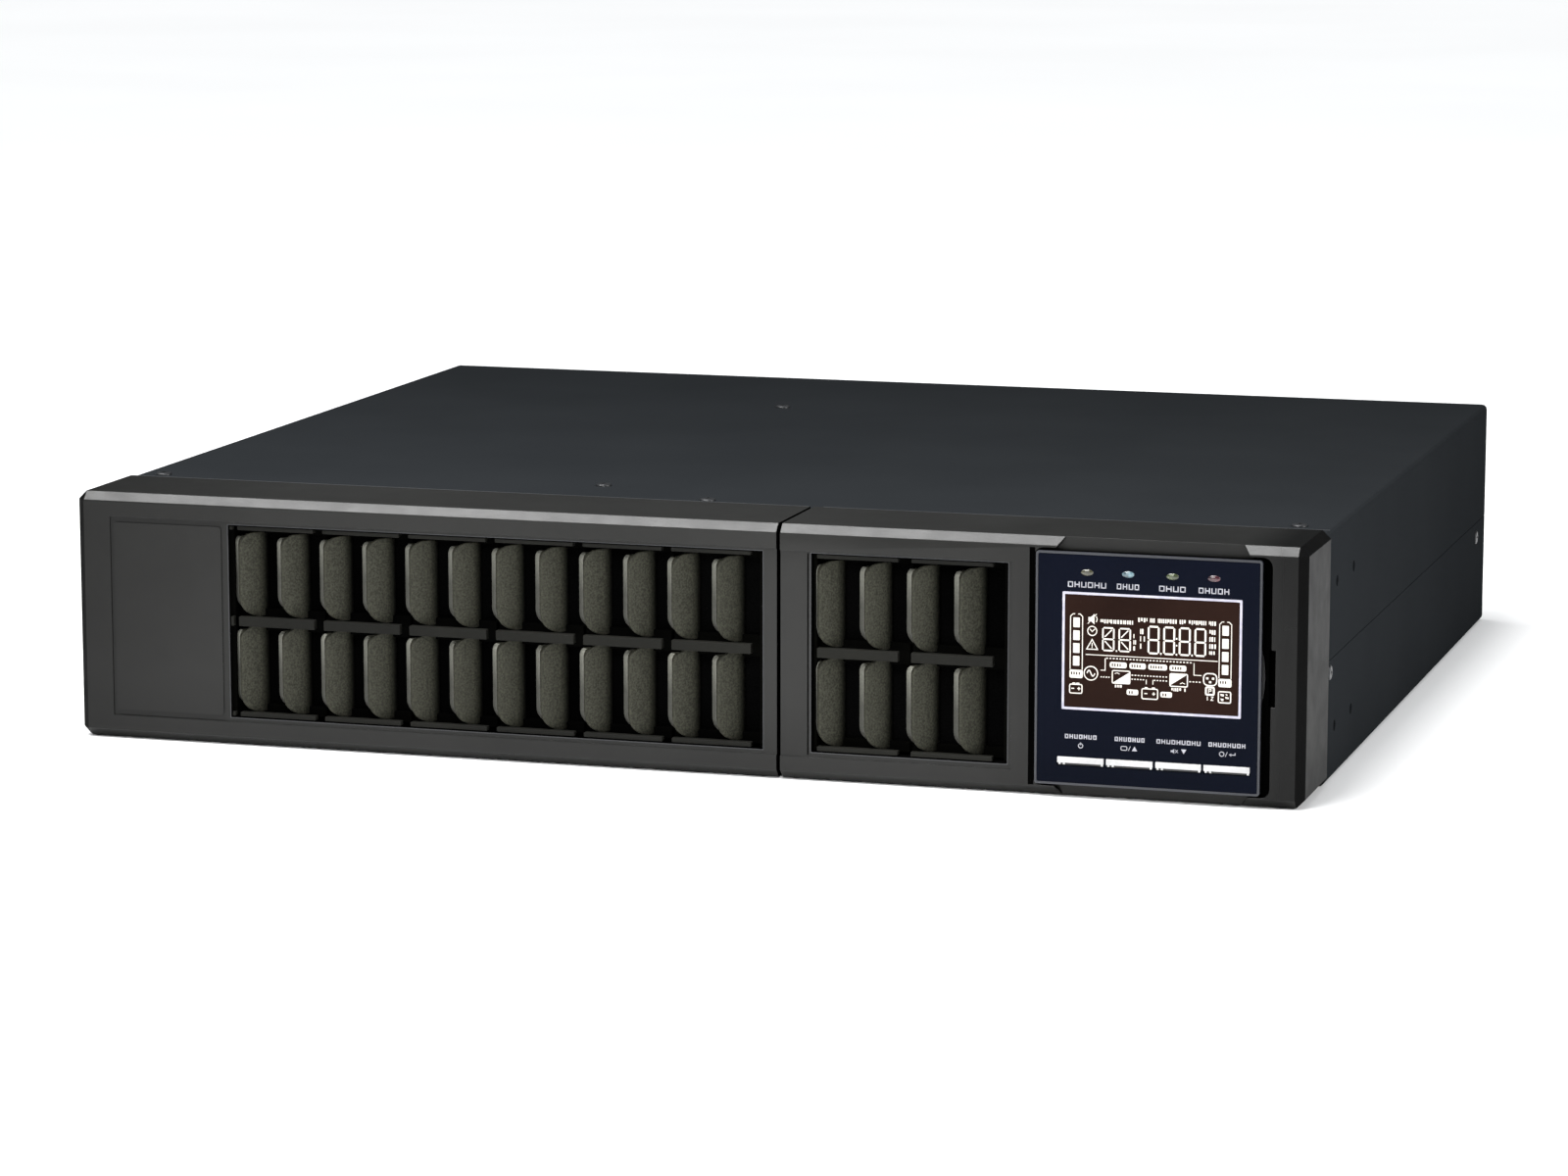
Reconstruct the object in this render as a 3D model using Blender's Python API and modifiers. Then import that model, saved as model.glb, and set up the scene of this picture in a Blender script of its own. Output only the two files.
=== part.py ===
"""Uninterruptible power supply, 2U high, for a rack or for standing on its side.

Sizes are in millimetres, and MM turns them into metres where a mesh is made.
X runs to the right of the front, Y from the front to the rear, and Z up.
The origin is the middle of the underside.
"""
import math

import bmesh
import bpy
from mathutils import Matrix, Vector

MM = 0.001

# Driving dimensions of the whole unit.
WIDTH = 440.0
CASE_DEPTH = 380.0
HEIGHT = 88.0
PROUD = 1.5                      # how far the display and the rear fittings stand out
GAP = 0.3                        # clearance between touching pieces
SHEET = 1.2                      # steel sheet
FOLD = 2.0                       # outside radius of the folded sheet
INSET = 1.0                      # the case is this much narrower and lower than the bezels

FRONT = -CASE_DEPTH / 2
REAR = CASE_DEPTH / 2
BEZEL_DEPTH = 41.0
BEZEL_BACK = FRONT + BEZEL_DEPTH
CASE_FRONT = BEZEL_BACK + GAP
CASE_HALF = WIDTH / 2 - INSET
CASE_TOP = HEIGHT - INSET
SEAM_Z = 42.4                    # where the cover's skirt meets the base
INNER_LOW = SHEET + GAP
INNER_HIGH = CASE_TOP - SHEET - GAP
INNER_HALF = CASE_HALF - SHEET - GAP

# Bezels.
BEZEL_WALL = 2.5
BEZEL_FACE = 5.5                 # the right-hand bezel is thick, for its finger grips
BEZEL_CHAMFER = 3.0
SPLIT_X = 38.7
SPLIT_GAP = 1.2
RECESS_DEPTH = 0.7
WINDOW_Z = (10.0, 78.4)
DOOR_WINDOW_X = (-162.4, 33.0)
DOOR_RECESS = (-207.0, 8.6, SPLIT_X, 79.5)
BLANK_PANEL = (-207.0, 9.2, -163.6, 79.0)
INTAKE_WINDOW_X = (50.2, 118.7)
INTAKE_RECESS = (SPLIT_X, 8.3, 120.2, 79.0)

# Louvre grilles.
BLADE_PITCH = 15.82
BLADE_WIDTH = 10.5
BLADE_HEIGHT = 29.2
BLADE_THICKNESS = 2.4
BLADE_CORNER = 4.5
BLADE_TURN = math.radians(45)
BLADE_ROWS_Z = (13.0, 46.8)
DOOR_FIRST_BLADE_X = -159.4
DOOR_BLADES = 12
INTAKE_FIRST_BLADE_X = 51.9
INTAKE_BLADES = 4
BAR_ROWS_Z = ((10.3, 12.1), (42.5, 46.1), (76.7, 78.1))
RAIL_ROWS_Z = ((10.3, 15.5), (39.5, 49.0), (73.5, 78.1))
RAIL_DEPTH = (8.0, 10.4)
BAR_LENGTH = 28.4

# Display head, which turns on a carrier that slides in a round well.
HEAD_X = 168.1
HEAD_Z = 44.0
HEAD_SIZE = 77.0
HEAD_GAP = 1.8
HEAD_CORNER = 3.0
HEAD_FRONT = FRONT - PROUD + 0.2
FLANGE_BACK = FRONT + 1.4
POCKET_FLOOR = FRONT + 1.7
DRUM_RADIUS = 36.2
CARRIER_RADIUS = 38.0
CARRIER_BACK = FRONT + 52.0
WELL_RADIUS = 38.4
WELL_BACK = FRONT + 32.0
LENS_FLOOR = HEAD_FRONT + 0.7
SCREEN_FLOOR = HEAD_FRONT + 2.0
SCREEN = (137.9, 30.3, 198.7, 70.1)
BUTTON_EDGES = ((136.6, 152.5), (153.3, 169.2), (170.1, 185.6), (186.4, 202.0))
BUTTON_Z = (11.3, 14.1)
LED_X = (146.2, 160.1, 175.1, 189.1)
LED_Z = 77.3
LED_NAMES = ("bypass", "line", "battery", "fault")
BUTTON_NAMES = ("off", "test", "mute", "on")

# Battery pack.
BAY_RIGHT = -5.0
TRAY_X = (-214.5, -8.0)
TRAY_Y = (-146.5, 160.5)
TRAY_Z = 2.0
TRAY_WALL = 30.0
BATTERY = (97.5, 151.0, 65.0)
BATTERY_Z = TRAY_Z + SHEET + GAP

# Rear panel and what is on it.
PANEL = (REAR - 6.0, REAR - 4.5)
FLANGE_Y = PANEL[1] + GAP
REAR_LIMIT = REAR + PROUD
FAN_X = 172.0
FAN_Z = 43.5
FAN_SIZE = 80.0
FAN_BORE = 37.5
INLET_X = 100.0
INLET_Z = 22.0
BREAKER_Z = 60.0
SLOT_CENTRE = (43.0, 64.0)
SLOT_SIZE = (74.0, 34.0)
SERIAL_CENTRE = (22.0, 34.0)
USB_CENTRE = (54.0, 34.0)
SURGE_CENTRE = (26.0, 14.0)
EPO_CENTRE = (58.0, 13.2)
GROUND_CENTRE = (124.0, 10.0)
EXTERNAL_CENTRE = (-30.0, 30.0)
BANK_CENTRES_X = (-172.0, -96.0)
BANK_Z = 43.5
OUTLET_PITCH = (36.0, 33.0)

STEEL_BLACK = (0.028, 0.031, 0.034)
PLASTIC_BLACK = (0.045, 0.045, 0.043)
LOUVRE_OLIVE = (0.062, 0.062, 0.052)


# ---------------------------------------------------------------- helpers

def clear_scene():
    """Empties the file, so that a second run makes the same model."""
    for old in list(bpy.data.objects):
        bpy.data.objects.remove(old, do_unlink=True)
    for old in list(bpy.data.collections):
        bpy.data.collections.remove(old)


def new_collection(name):
    """A collection linked to the scene."""
    made = bpy.data.collections.new(name)
    bpy.context.scene.collection.children.link(made)
    return made


def material(name, colour, roughness, metallic=0.0):
    """A Principled material; a second call with the same name returns the first."""
    if name in bpy.data.materials:
        return bpy.data.materials[name]
    made = bpy.data.materials.new(name)
    made.use_nodes = True
    shader = made.node_tree.nodes["Principled BSDF"]
    shader.inputs["Base Color"].default_value = (*colour, 1.0)
    shader.inputs["Roughness"].default_value = roughness
    shader.inputs["Metallic"].default_value = metallic
    return made


def place(mesh, name, look, centre=(0, 0, 0)):
    """Links a mesh as a named part whose origin is at centre, in millimetres."""
    origin = Vector(centre) * MM
    mesh.transform(Matrix.Translation(-origin))
    part = bpy.data.objects.new(name, mesh)
    part.location = origin
    PARTS.objects.link(part)
    mesh.materials.append(look)
    return part


def as_cutter(mesh, name):
    """Links a mesh as a hidden cutter."""
    cutter = bpy.data.objects.new(name, mesh)
    cutter.hide_render = True
    cutter.display_type = "WIRE"
    CUTTERS.objects.link(cutter)
    return cutter


def finish_mesh(bm, name):
    """Turns a bmesh into a mesh with its faces pointing out."""
    bmesh.ops.recalc_face_normals(bm, faces=bm.faces)
    mesh = bpy.data.meshes.new(name)
    bm.to_mesh(mesh)
    bm.free()
    return mesh


def add_box(bm, low, high):
    """Adds a block between two corners."""
    low = Vector(low)
    high = Vector(high)
    made = bmesh.ops.create_cube(bm, size=1.0)
    size = Matrix.Diagonal((*(high - low), 1.0))
    move = Matrix.Scale(MM, 4) @ Matrix.Translation((low + high) / 2)
    bmesh.ops.transform(bm, matrix=move @ size, verts=made["verts"])


def add_rod(bm, centre, radius, low, high, axis="Y", sides=32):
    """Adds a round rod along an axis, from low to high; centre is the other two."""
    made = bmesh.ops.create_cone(bm, cap_ends=True, segments=sides, radius1=radius,
                                 radius2=radius, depth=high - low)
    middle = (low + high) / 2
    if axis == "Y":
        spin = Matrix.Rotation(math.radians(-90), 4, "X")
        spot = Vector((centre[0], middle, centre[1]))
    elif axis == "X":
        spin = Matrix.Rotation(math.radians(90), 4, "Y")
        spot = Vector((middle, centre[0], centre[1]))
    else:
        spin = Matrix.Identity(4)
        spot = Vector((centre[0], centre[1], middle))
    move = Matrix.Scale(MM, 4) @ Matrix.Translation(spot) @ spin
    bmesh.ops.transform(bm, matrix=move, verts=made["verts"])
    return made["verts"]


def box_mesh(name, low, high):
    """A block between two corners."""
    bm = bmesh.new()
    add_box(bm, low, high)
    return finish_mesh(bm, name)


def rod_mesh(name, centre, radius, low, high, axis="Y", sides=32):
    """A round rod along an axis."""
    bm = bmesh.new()
    add_rod(bm, centre, radius, low, high, axis, sides)
    return finish_mesh(bm, name)


def bevel(part, width, segments=1, limit=40.0):
    """Rounds or chamfers every edge sharper than limit degrees."""
    edge = part.modifiers.new("bevel", "BEVEL")
    edge.width = width * MM
    edge.segments = segments
    edge.limit_method = "ANGLE"
    edge.angle_limit = math.radians(limit)
    edge.use_clamp_overlap = True
    return part


def combine(part, mesh, operation="DIFFERENCE"):
    """Cuts a mesh from a part, or joins it on."""
    step = part.modifiers.new(operation.lower(), "BOOLEAN")
    step.operation = operation
    step.solver = "EXACT"
    step.object = as_cutter(mesh, part.name + "_" + mesh.name)
    return part


def cut_boxes(part, boxes, label="cut"):
    """Cuts blocks that stay clear of each other, given as pairs of corners."""
    bm = bmesh.new()
    for low, high in boxes:
        add_box(bm, low, high)
    return combine(part, finish_mesh(bm, label))


def cut_rod(part, centre, radius, low, high, axis="Y", sides=32, label="bore"):
    """Cuts a round hole."""
    return combine(part, rod_mesh(label, centre, radius, low, high, axis, sides))


def round_corners(corners, radius, steps=3):
    """The outline of a convex shape with each corner rounded by an arc."""
    points = []
    count = len(corners)
    for index, corner in enumerate(corners):
        here = Vector(corner)
        before = (Vector(corners[index - 1]) - here).normalized()
        after = (Vector(corners[(index + 1) % count]) - here).normalized()
        half = before.angle(after) / 2
        reach = radius / math.tan(half)
        hub = here + (before + after).normalized() * (radius / math.sin(half))
        start = here + before * reach - hub
        sweep = math.pi - 2 * half
        side = math.copysign(1.0, before.x * after.y - before.y * after.x)
        for step in range(steps + 1):
            turn = Matrix.Rotation(-side * sweep * step / steps, 2)
            points.append(hub + turn @ start)
    return points


def rectangle(low, high):
    """The four corners of a rectangle, in order."""
    return [low, (high[0], low[1]), high, (low[0], high[1])]


def plate_mesh(name, outline, low, high, axis="Y"):
    """An outline in X and Z (or Y and Z for axis X) filled from low to high."""
    bm = bmesh.new()
    if axis == "Y":
        ring = [bm.verts.new(Vector((x, low, z)) * MM) for x, z in outline]
        push = Vector((0, high - low, 0)) * MM
    else:
        ring = [bm.verts.new(Vector((low, y, z)) * MM) for y, z in outline]
        push = Vector((high - low, 0, 0)) * MM
    face = bm.faces.new(ring)
    grown = bmesh.ops.extrude_face_region(bm, geom=[face])
    moved = [item for item in grown["geom"] if isinstance(item, bmesh.types.BMVert)]
    bmesh.ops.translate(bm, verts=moved, vec=push)
    return finish_mesh(bm, name)


def rounded_plate(name, low, high, depth, radius, look, steps=3):
    """A plate facing forward with rounded corners, as a part."""
    outline = round_corners(rectangle(low, high), radius, steps)
    return place(plate_mesh(name, outline, *depth), name, look)


def folded_sheet(name, low, high, open_sides, look):
    """A folded sheet-steel shell: a block without its open sides, made SHEET thick."""
    bm = bmesh.new()
    add_box(bm, low, high)
    gone = []
    for face in bm.faces:
        normal = face.normal
        for side in open_sides:
            if normal.dot(Vector(side)) > 0.9:
                gone.append(face)
    bmesh.ops.delete(bm, geom=gone, context="FACES")
    mesh = bpy.data.meshes.new(name)
    bm.to_mesh(mesh)
    bm.free()
    part = place(mesh, name, look)
    bevel(part, FOLD, segments=3)
    skin = part.modifiers.new("sheet", "SOLIDIFY")
    skin.thickness = SHEET * MM
    skin.offset = -1.0
    skin.use_even_offset = True
    return part


# ---------------------------------------------------------------- looks

def steel():
    return material("black_steel", STEEL_BLACK, 0.45)


def bezel_plastic():
    return material("bezel_plastic", PLASTIC_BLACK, 0.5)


def louvre_plastic():
    return material("louvre_plastic", LOUVRE_OLIVE, 0.6)


def socket_plastic():
    return material("socket_plastic", (0.02, 0.02, 0.021), 0.4)


def zinc():
    return material("zinc_steel", (0.55, 0.56, 0.57), 0.35, metallic=1.0)


# ---------------------------------------------------------------- casing

EAR_HOLES_BASE = ((FRONT + 58.5, 18.0), (FRONT + 89.0, 18.0))
EAR_HOLES_COVER = ((FRONT + 59.0, 68.0), (FRONT + 90.0, 68.0))
EAR_HOLE_RADIUS = 2.0


def cut_ear_holes(part, spots):
    """Threaded holes for the rack ears, through both side walls."""
    for index, spot in enumerate(spots):
        cut_rod(part, spot, EAR_HOLE_RADIUS, -WIDTH, WIDTH, axis="X", sides=16,
                label="ear_hole_%d" % index)


def make_case():
    """The base and the cover, two folded sheets that meet at the seam."""
    ends = [(0, -1, 0), (0, 1, 0)]
    base = folded_sheet("chassis_base", (-CASE_HALF, CASE_FRONT, 0.0),
                        (CASE_HALF, REAR, SEAM_Z - GAP / 2), ends + [(0, 0, 1)], steel())
    cut_ear_holes(base, EAR_HOLES_BASE)
    cover = folded_sheet("top_cover", (-CASE_HALF, CASE_FRONT, SEAM_Z + GAP / 2),
                         (CASE_HALF, REAR, CASE_TOP), ends + [(0, 0, -1)], steel())
    cut_ear_holes(cover, EAR_HOLES_COVER)


def make_inner_walls():
    """The wall beside the battery bay and the plate behind the right-hand bezel."""
    top = INNER_HIGH
    place(box_mesh("divider_wall", (BAY_RIGHT - SHEET, CASE_FRONT + 2.2, INNER_LOW),
                   (BAY_RIGHT, PANEL[0] - GAP, top)), "divider_wall", steel())
    plate_y = (CASE_FRONT + GAP, CASE_FRONT + GAP + SHEET)
    plate = place(box_mesh("front_plate", (BAY_RIGHT - SHEET, plate_y[0], INNER_LOW),
                           (INNER_HALF, plate_y[1], top)), "front_plate", steel())
    through = (plate_y[0] - 1, plate_y[1] + 1)
    cut_boxes(plate, [((2.0, through[0], 14.0), (37.0, through[1], 75.0)),
                      ((57.0, through[0], 14.0), (120.0, through[1], 75.0))], "vents")
    cut_rod(plate, (HEAD_X, HEAD_Z), CARRIER_RADIUS + 1.6, *through, sides=48)


# ---------------------------------------------------------------- bezels

def bezel_block(name, low_x, high_x, outer_side):
    """A bezel's block, chamfered on the outer edges of its front and on its outer side."""
    bm = bmesh.new()
    add_box(bm, (low_x, FRONT, GAP), (high_x, BEZEL_BACK, HEIGHT))
    outer_x = (low_x if outer_side < 0 else high_x) * MM
    inner_x = (high_x if outer_side < 0 else low_x) * MM
    sloped = []
    for edge in bm.edges:
        ends = [vert.co for vert in edge.verts]
        at_front = all(abs(end.y - FRONT * MM) < MM / 10 for end in ends)
        at_outer = all(abs(end.x - outer_x) < MM / 10 for end in ends)
        at_inner = all(abs(end.x - inner_x) < MM / 10 for end in ends)
        at_back = all(abs(end.y - BEZEL_BACK * MM) < MM / 10 for end in ends)
        if (at_front or at_outer) and not at_inner and not at_back:
            sloped.append(edge)
    bmesh.ops.bevel(bm, geom=sloped, offset=BEZEL_CHAMFER * MM, segments=1, profile=0.5,
                    affect="EDGES", clamp_overlap=True)
    return place(finish_mesh(bm, name), name, bezel_plastic())


def hollow(bezel, low_x, high_x, front_wall):
    """Opens a bezel from behind, leaving its walls."""
    cut_boxes(bezel, [((low_x + BEZEL_WALL, FRONT + front_wall, GAP + BEZEL_WALL),
                       (high_x - BEZEL_WALL, BEZEL_BACK + 1, HEIGHT - BEZEL_WALL))], "hollow")


def cut_recess(bezel, recess, margin=1.0):
    """Sinks a shallow panel into a bezel's face; recess is low x, low z, high x, high z."""
    low_x, low_z, high_x, high_z = recess
    cut_boxes(bezel, [((low_x, FRONT - margin, low_z),
                       (high_x, FRONT + RECESS_DEPTH, high_z))], "recess")


def make_battery_door():
    """The left-hand bezel, which pulls off to reach the battery pack."""
    high_x = SPLIT_X - SPLIT_GAP / 2
    door = bezel_block("battery_door", -WIDTH / 2, high_x, -1)
    hollow(door, -WIDTH / 2, high_x, BEZEL_WALL)
    cut_recess(door, DOOR_RECESS)
    cut_boxes(door, [((DOOR_WINDOW_X[0], FRONT - 1, WINDOW_Z[0]),
                      (DOOR_WINDOW_X[1], FRONT + 6, WINDOW_Z[1]))], "window")
    make_blank_panel()


def make_blank_panel():
    """The plain plate at the door's left, where a nameplate would be."""
    low_x, low_z, high_x, high_z = BLANK_PANEL
    inset = 1.4
    rounded_plate("blank_panel", (low_x + inset, low_z + inset), (high_x - inset, high_z - inset),
                  (FRONT + 0.1, FRONT + RECESS_DEPTH - GAP / 2), 0.8, bezel_plastic(), steps=1)


def make_front_bezel():
    """The right-hand bezel, with the air intake and the round well of the display."""
    low_x = SPLIT_X + SPLIT_GAP / 2
    bezel = bezel_block("front_bezel", low_x, WIDTH / 2, 1)
    hollow(bezel, low_x, WIDTH / 2, BEZEL_FACE)
    combine(bezel, rod_mesh("well", (HEAD_X, HEAD_Z), WELL_RADIUS + 2.2, FRONT + 1, WELL_BACK,
                            sides=48), "UNION")
    cut_recess(bezel, INTAKE_RECESS)
    cut_boxes(bezel, [((INTAKE_WINDOW_X[0], FRONT - 1, WINDOW_Z[0]),
                       (INTAKE_WINDOW_X[1], FRONT + 6, WINDOW_Z[1]))], "window")
    cut_rod(bezel, (HEAD_X, HEAD_Z), WELL_RADIUS, FRONT - 1, WELL_BACK + 1, sides=64)
    half = HEAD_SIZE / 2 + HEAD_GAP
    outline = round_corners(rectangle((HEAD_X - half, HEAD_Z - half),
                                      (HEAD_X + half, HEAD_Z + half)), HEAD_CORNER)
    combine(bezel, plate_mesh("pocket", outline, FRONT - 1, POCKET_FLOOR))
    cut_finger_grips(bezel, half)


def cut_finger_grips(bezel, half):
    """Cuts at the four sides of the display, where fingers take hold of it."""
    grip_half = 9.5
    grip_reach = 1.4
    grip_depth = FRONT + 4.0
    cut_boxes(bezel, [
        ((HEAD_X - half - grip_reach, FRONT - 1, HEAD_Z - grip_half),
         (HEAD_X - half + 1, grip_depth, HEAD_Z + grip_half)),
        ((HEAD_X + half - 1, FRONT - 1, HEAD_Z - grip_half),
         (HEAD_X + half + grip_reach, grip_depth, HEAD_Z + grip_half))], "side_grips")
    slope = 4.5
    wide = 33.8
    setback = FRONT + BEZEL_CHAMFER
    edge = HEIGHT / 2 - 0.01
    for name, way in (("top_grip", 1), ("bottom_grip", -1)):
        corners = [(HEAD_X - wide, HEAD_Z + way * (half - 1)),
                   (HEAD_X + wide, HEAD_Z + way * (half - 1)),
                   (HEAD_X + wide - slope, HEAD_Z + way * (edge + 1)),
                   (HEAD_X - wide + slope, HEAD_Z + way * (edge + 1))]
        combine(bezel, plate_mesh(name, corners, FRONT - 1, setback))


def add_blades(bm, first_x, count):
    """Adds both rows of louvre blades: upright plates turned to face right."""
    outline = round_corners(rectangle((0.0, 0.0), (BLADE_WIDTH, BLADE_HEIGHT)), BLADE_CORNER, 3)
    lean = Matrix.Rotation(BLADE_TURN, 4, "Z")
    for row_z in BLADE_ROWS_Z:
        for index in range(count):
            corner = Vector((first_x + index * BLADE_PITCH + 1.6, FRONT + 0.9, row_z))
            ring = []
            for x, z in outline:
                ring.append(bm.verts.new((lean @ Vector((x, 0, z)) + corner) * MM))
            face = bm.faces.new(ring)
            grown = bmesh.ops.extrude_face_region(bm, geom=[face])
            moved = [item for item in grown["geom"] if isinstance(item, bmesh.types.BMVert)]
            push = lean @ Vector((0, BLADE_THICKNESS, 0))
            bmesh.ops.translate(bm, verts=moved, vec=push * MM)


def make_grille(name, window_x, first_x, count, lead_in):
    """One grille: a frame of rails at the back, bars in pairs, and the blades."""
    low_x = window_x[0] + GAP
    high_x = window_x[1] - GAP
    back = (FRONT + RAIL_DEPTH[0], FRONT + RAIL_DEPTH[1])
    low_z = WINDOW_Z[0] + GAP
    high_z = WINDOW_Z[1] - GAP
    grille = place(box_mesh(name, (low_x, back[0], low_z), (high_x, back[1], high_z)),
                   name, louvre_plastic())
    pair = 2 * BLADE_PITCH
    starts = [first_x + 0.5 + pair * index for index in range(count // 2)]
    holes = []
    for low, high in ((RAIL_ROWS_Z[0][1], RAIL_ROWS_Z[1][0]), (RAIL_ROWS_Z[1][1], RAIL_ROWS_Z[2][0])):
        for start in starts:
            end = min(start + pair - 1.6, high_x - 1.2)
            holes.append(((max(start, low_x + 1.2), back[0] - 1, low), (end, back[1] + 1, high)))
    cut_boxes(grille, holes, "vents")
    bm = bmesh.new()
    for low, high in BAR_ROWS_Z:
        if lead_in:
            add_box(bm, (low_x, FRONT + 1.2, low), (first_x - 1.2, back[0] + 1, high))
        for start in starts:
            end = min(start + BAR_LENGTH, high_x)
            add_box(bm, (max(start, low_x), FRONT + 1.2, low), (end, back[0] + 1, high))
    combine(grille, finish_mesh(bm, "bars"), "UNION")
    bm = bmesh.new()
    add_blades(bm, first_x, count)
    combine(grille, finish_mesh(bm, "blades"), "UNION")


def make_intake_filter():
    """The foam dust filter behind the right-hand grille."""
    foam = material("filter_foam", (0.01, 0.01, 0.01), 0.95)
    place(box_mesh("intake_filter", (INTAKE_WINDOW_X[0] - 4, FRONT + 11.0, 8.0),
                   (INTAKE_WINDOW_X[1] + 4, FRONT + 17.0, 80.0)), "intake_filter", foam)


# ---------------------------------------------------------------- display

def make_display_carrier():
    """The round cup that slides in the well and carries the display head."""
    look = socket_plastic()
    cup = place(rod_mesh("display_carrier", (HEAD_X, HEAD_Z), CARRIER_RADIUS, POCKET_FLOOR + GAP,
                         CARRIER_BACK, sides=48), "display_carrier", look,
                (HEAD_X, CARRIER_BACK, HEAD_Z))
    cut_rod(cup, (HEAD_X, HEAD_Z), DRUM_RADIUS + GAP, POCKET_FLOOR - 1, CARRIER_BACK - 3, sides=48)


def make_display_frame():
    """The square front of the head and the drum behind it."""
    look = socket_plastic()
    half = HEAD_SIZE / 2
    outline = round_corners(rectangle((HEAD_X - half, HEAD_Z - half),
                                      (HEAD_X + half, HEAD_Z + half)), HEAD_CORNER)
    frame = place(plate_mesh("display_frame", outline, HEAD_FRONT, FLANGE_BACK), "display_frame",
                  look, (HEAD_X, FLANGE_BACK, HEAD_Z))
    combine(frame, rod_mesh("drum", (HEAD_X, HEAD_Z), DRUM_RADIUS, FLANGE_BACK - 0.5,
                            FRONT + 14.0, sides=48), "UNION")
    cut_rod(frame, (HEAD_X, HEAD_Z), DRUM_RADIUS - 1.8, FLANGE_BACK + 0.8, FRONT + 15.0,
            sides=48, label="inside")
    rim = 0.8
    outline = round_corners(rectangle((HEAD_X - half + rim, HEAD_Z - half + rim),
                                      (HEAD_X + half - rim, HEAD_Z + half - rim)), 2.4)
    combine(frame, plate_mesh("lens_seat", outline, HEAD_FRONT - 1, LENS_FLOOR))
    cut_boxes(frame, [((SCREEN[0] - GAP, HEAD_FRONT - 1, SCREEN[1] - GAP),
                       (SCREEN[2] + GAP, SCREEN_FLOOR, SCREEN[3] + GAP))], "screen_seat")
    cut_button_slots(frame)
    cut_led_holes(frame)


def cut_button_slots(part, margin=0.25):
    """The slots that the four keys move in."""
    slots = []
    for low, high in BUTTON_EDGES:
        slots.append(((low - margin, HEAD_FRONT - 1, BUTTON_Z[0] - margin),
                      (high + margin, FLANGE_BACK + 3, BUTTON_Z[1] + margin)))
    cut_boxes(part, slots, "button_slots")


def led_outline(x, grow=0.0):
    """The oval of a light guide."""
    count = 16
    outline = []
    for step in range(count):
        turn = 2 * math.pi * step / count
        outline.append((x + (2.5 + grow) * math.cos(turn), LED_Z + (1.3 + grow) * math.sin(turn)))
    return outline


def cut_led_holes(part):
    """The oval holes of the four light guides."""
    for index, x in enumerate(LED_X):
        combine(part, plate_mesh("led_hole_%d" % index, led_outline(x, 0.2), HEAD_FRONT - 1,
                                 FLANGE_BACK + 1))


def make_display_lens():
    """The tinted front sheet, open over the screen, the keys and the lights."""
    look = material("tinted_lens", (0.006, 0.008, 0.02), 0.08)
    half = HEAD_SIZE / 2 - 0.8 - 0.15
    outline = round_corners(rectangle((HEAD_X - half, HEAD_Z - half),
                                      (HEAD_X + half, HEAD_Z + half)), 2.3)
    lens = place(plate_mesh("display_lens", outline, HEAD_FRONT + 0.1, LENS_FLOOR - 0.2),
                 "display_lens", look, (HEAD_X, LENS_FLOOR, HEAD_Z))
    cut_boxes(lens, [((SCREEN[0] - 0.1, HEAD_FRONT - 1, SCREEN[1] - 0.1),
                      (SCREEN[2] + 0.1, LENS_FLOOR + 1, SCREEN[3] + 0.1))], "screen_opening")
    cut_button_slots(lens, 0.2)
    cut_led_holes(lens)


def make_display_screen():
    """The liquid-crystal panel and the circuit board of the head."""
    glass = material("screen_glass", (0.02, 0.009, 0.007), 0.1)
    place(box_mesh("display_screen", (SCREEN[0], HEAD_FRONT + 0.2, SCREEN[1]),
                   (SCREEN[2], SCREEN_FLOOR - 0.2, SCREEN[3])), "display_screen", glass,
          (HEAD_X, SCREEN_FLOOR, HEAD_Z))
    board = material("circuit_board", (0.01, 0.09, 0.04), 0.4)
    place(rod_mesh("display_board", (HEAD_X, HEAD_Z), DRUM_RADIUS - 3.0, FRONT + 6.0,
                   FRONT + 7.6, sides=32), "display_board", board, (HEAD_X, FRONT + 6.0, HEAD_Z))


def make_keys():
    """The four bar keys."""
    silver = material("silver_key", (0.8, 0.8, 0.8), 0.25)
    for name, (low, high) in zip(BUTTON_NAMES, BUTTON_EDGES):
        label = "key_" + name
        key = place(box_mesh(label, (low, FRONT - PROUD, BUTTON_Z[0]),
                             (high, FLANGE_BACK - 1.2, BUTTON_Z[1])), label, silver,
                    ((low + high) / 2, FRONT - PROUD, (BUTTON_Z[0] + BUTTON_Z[1]) / 2))
        bevel(key, 0.3, segments=2)


def make_light_guides():
    """The four oval light guides."""
    for name, x in zip(LED_NAMES, LED_X):
        label = "light_" + name
        look = material("light_guide_" + name, (0.35, 0.36, 0.3), 0.15)
        guide = place(plate_mesh(label, led_outline(x), FRONT - PROUD + 0.1, FLANGE_BACK - 0.4),
                      label, look)
        bevel(guide, 0.35, segments=2)


# ---------------------------------------------------------------- battery pack

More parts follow.
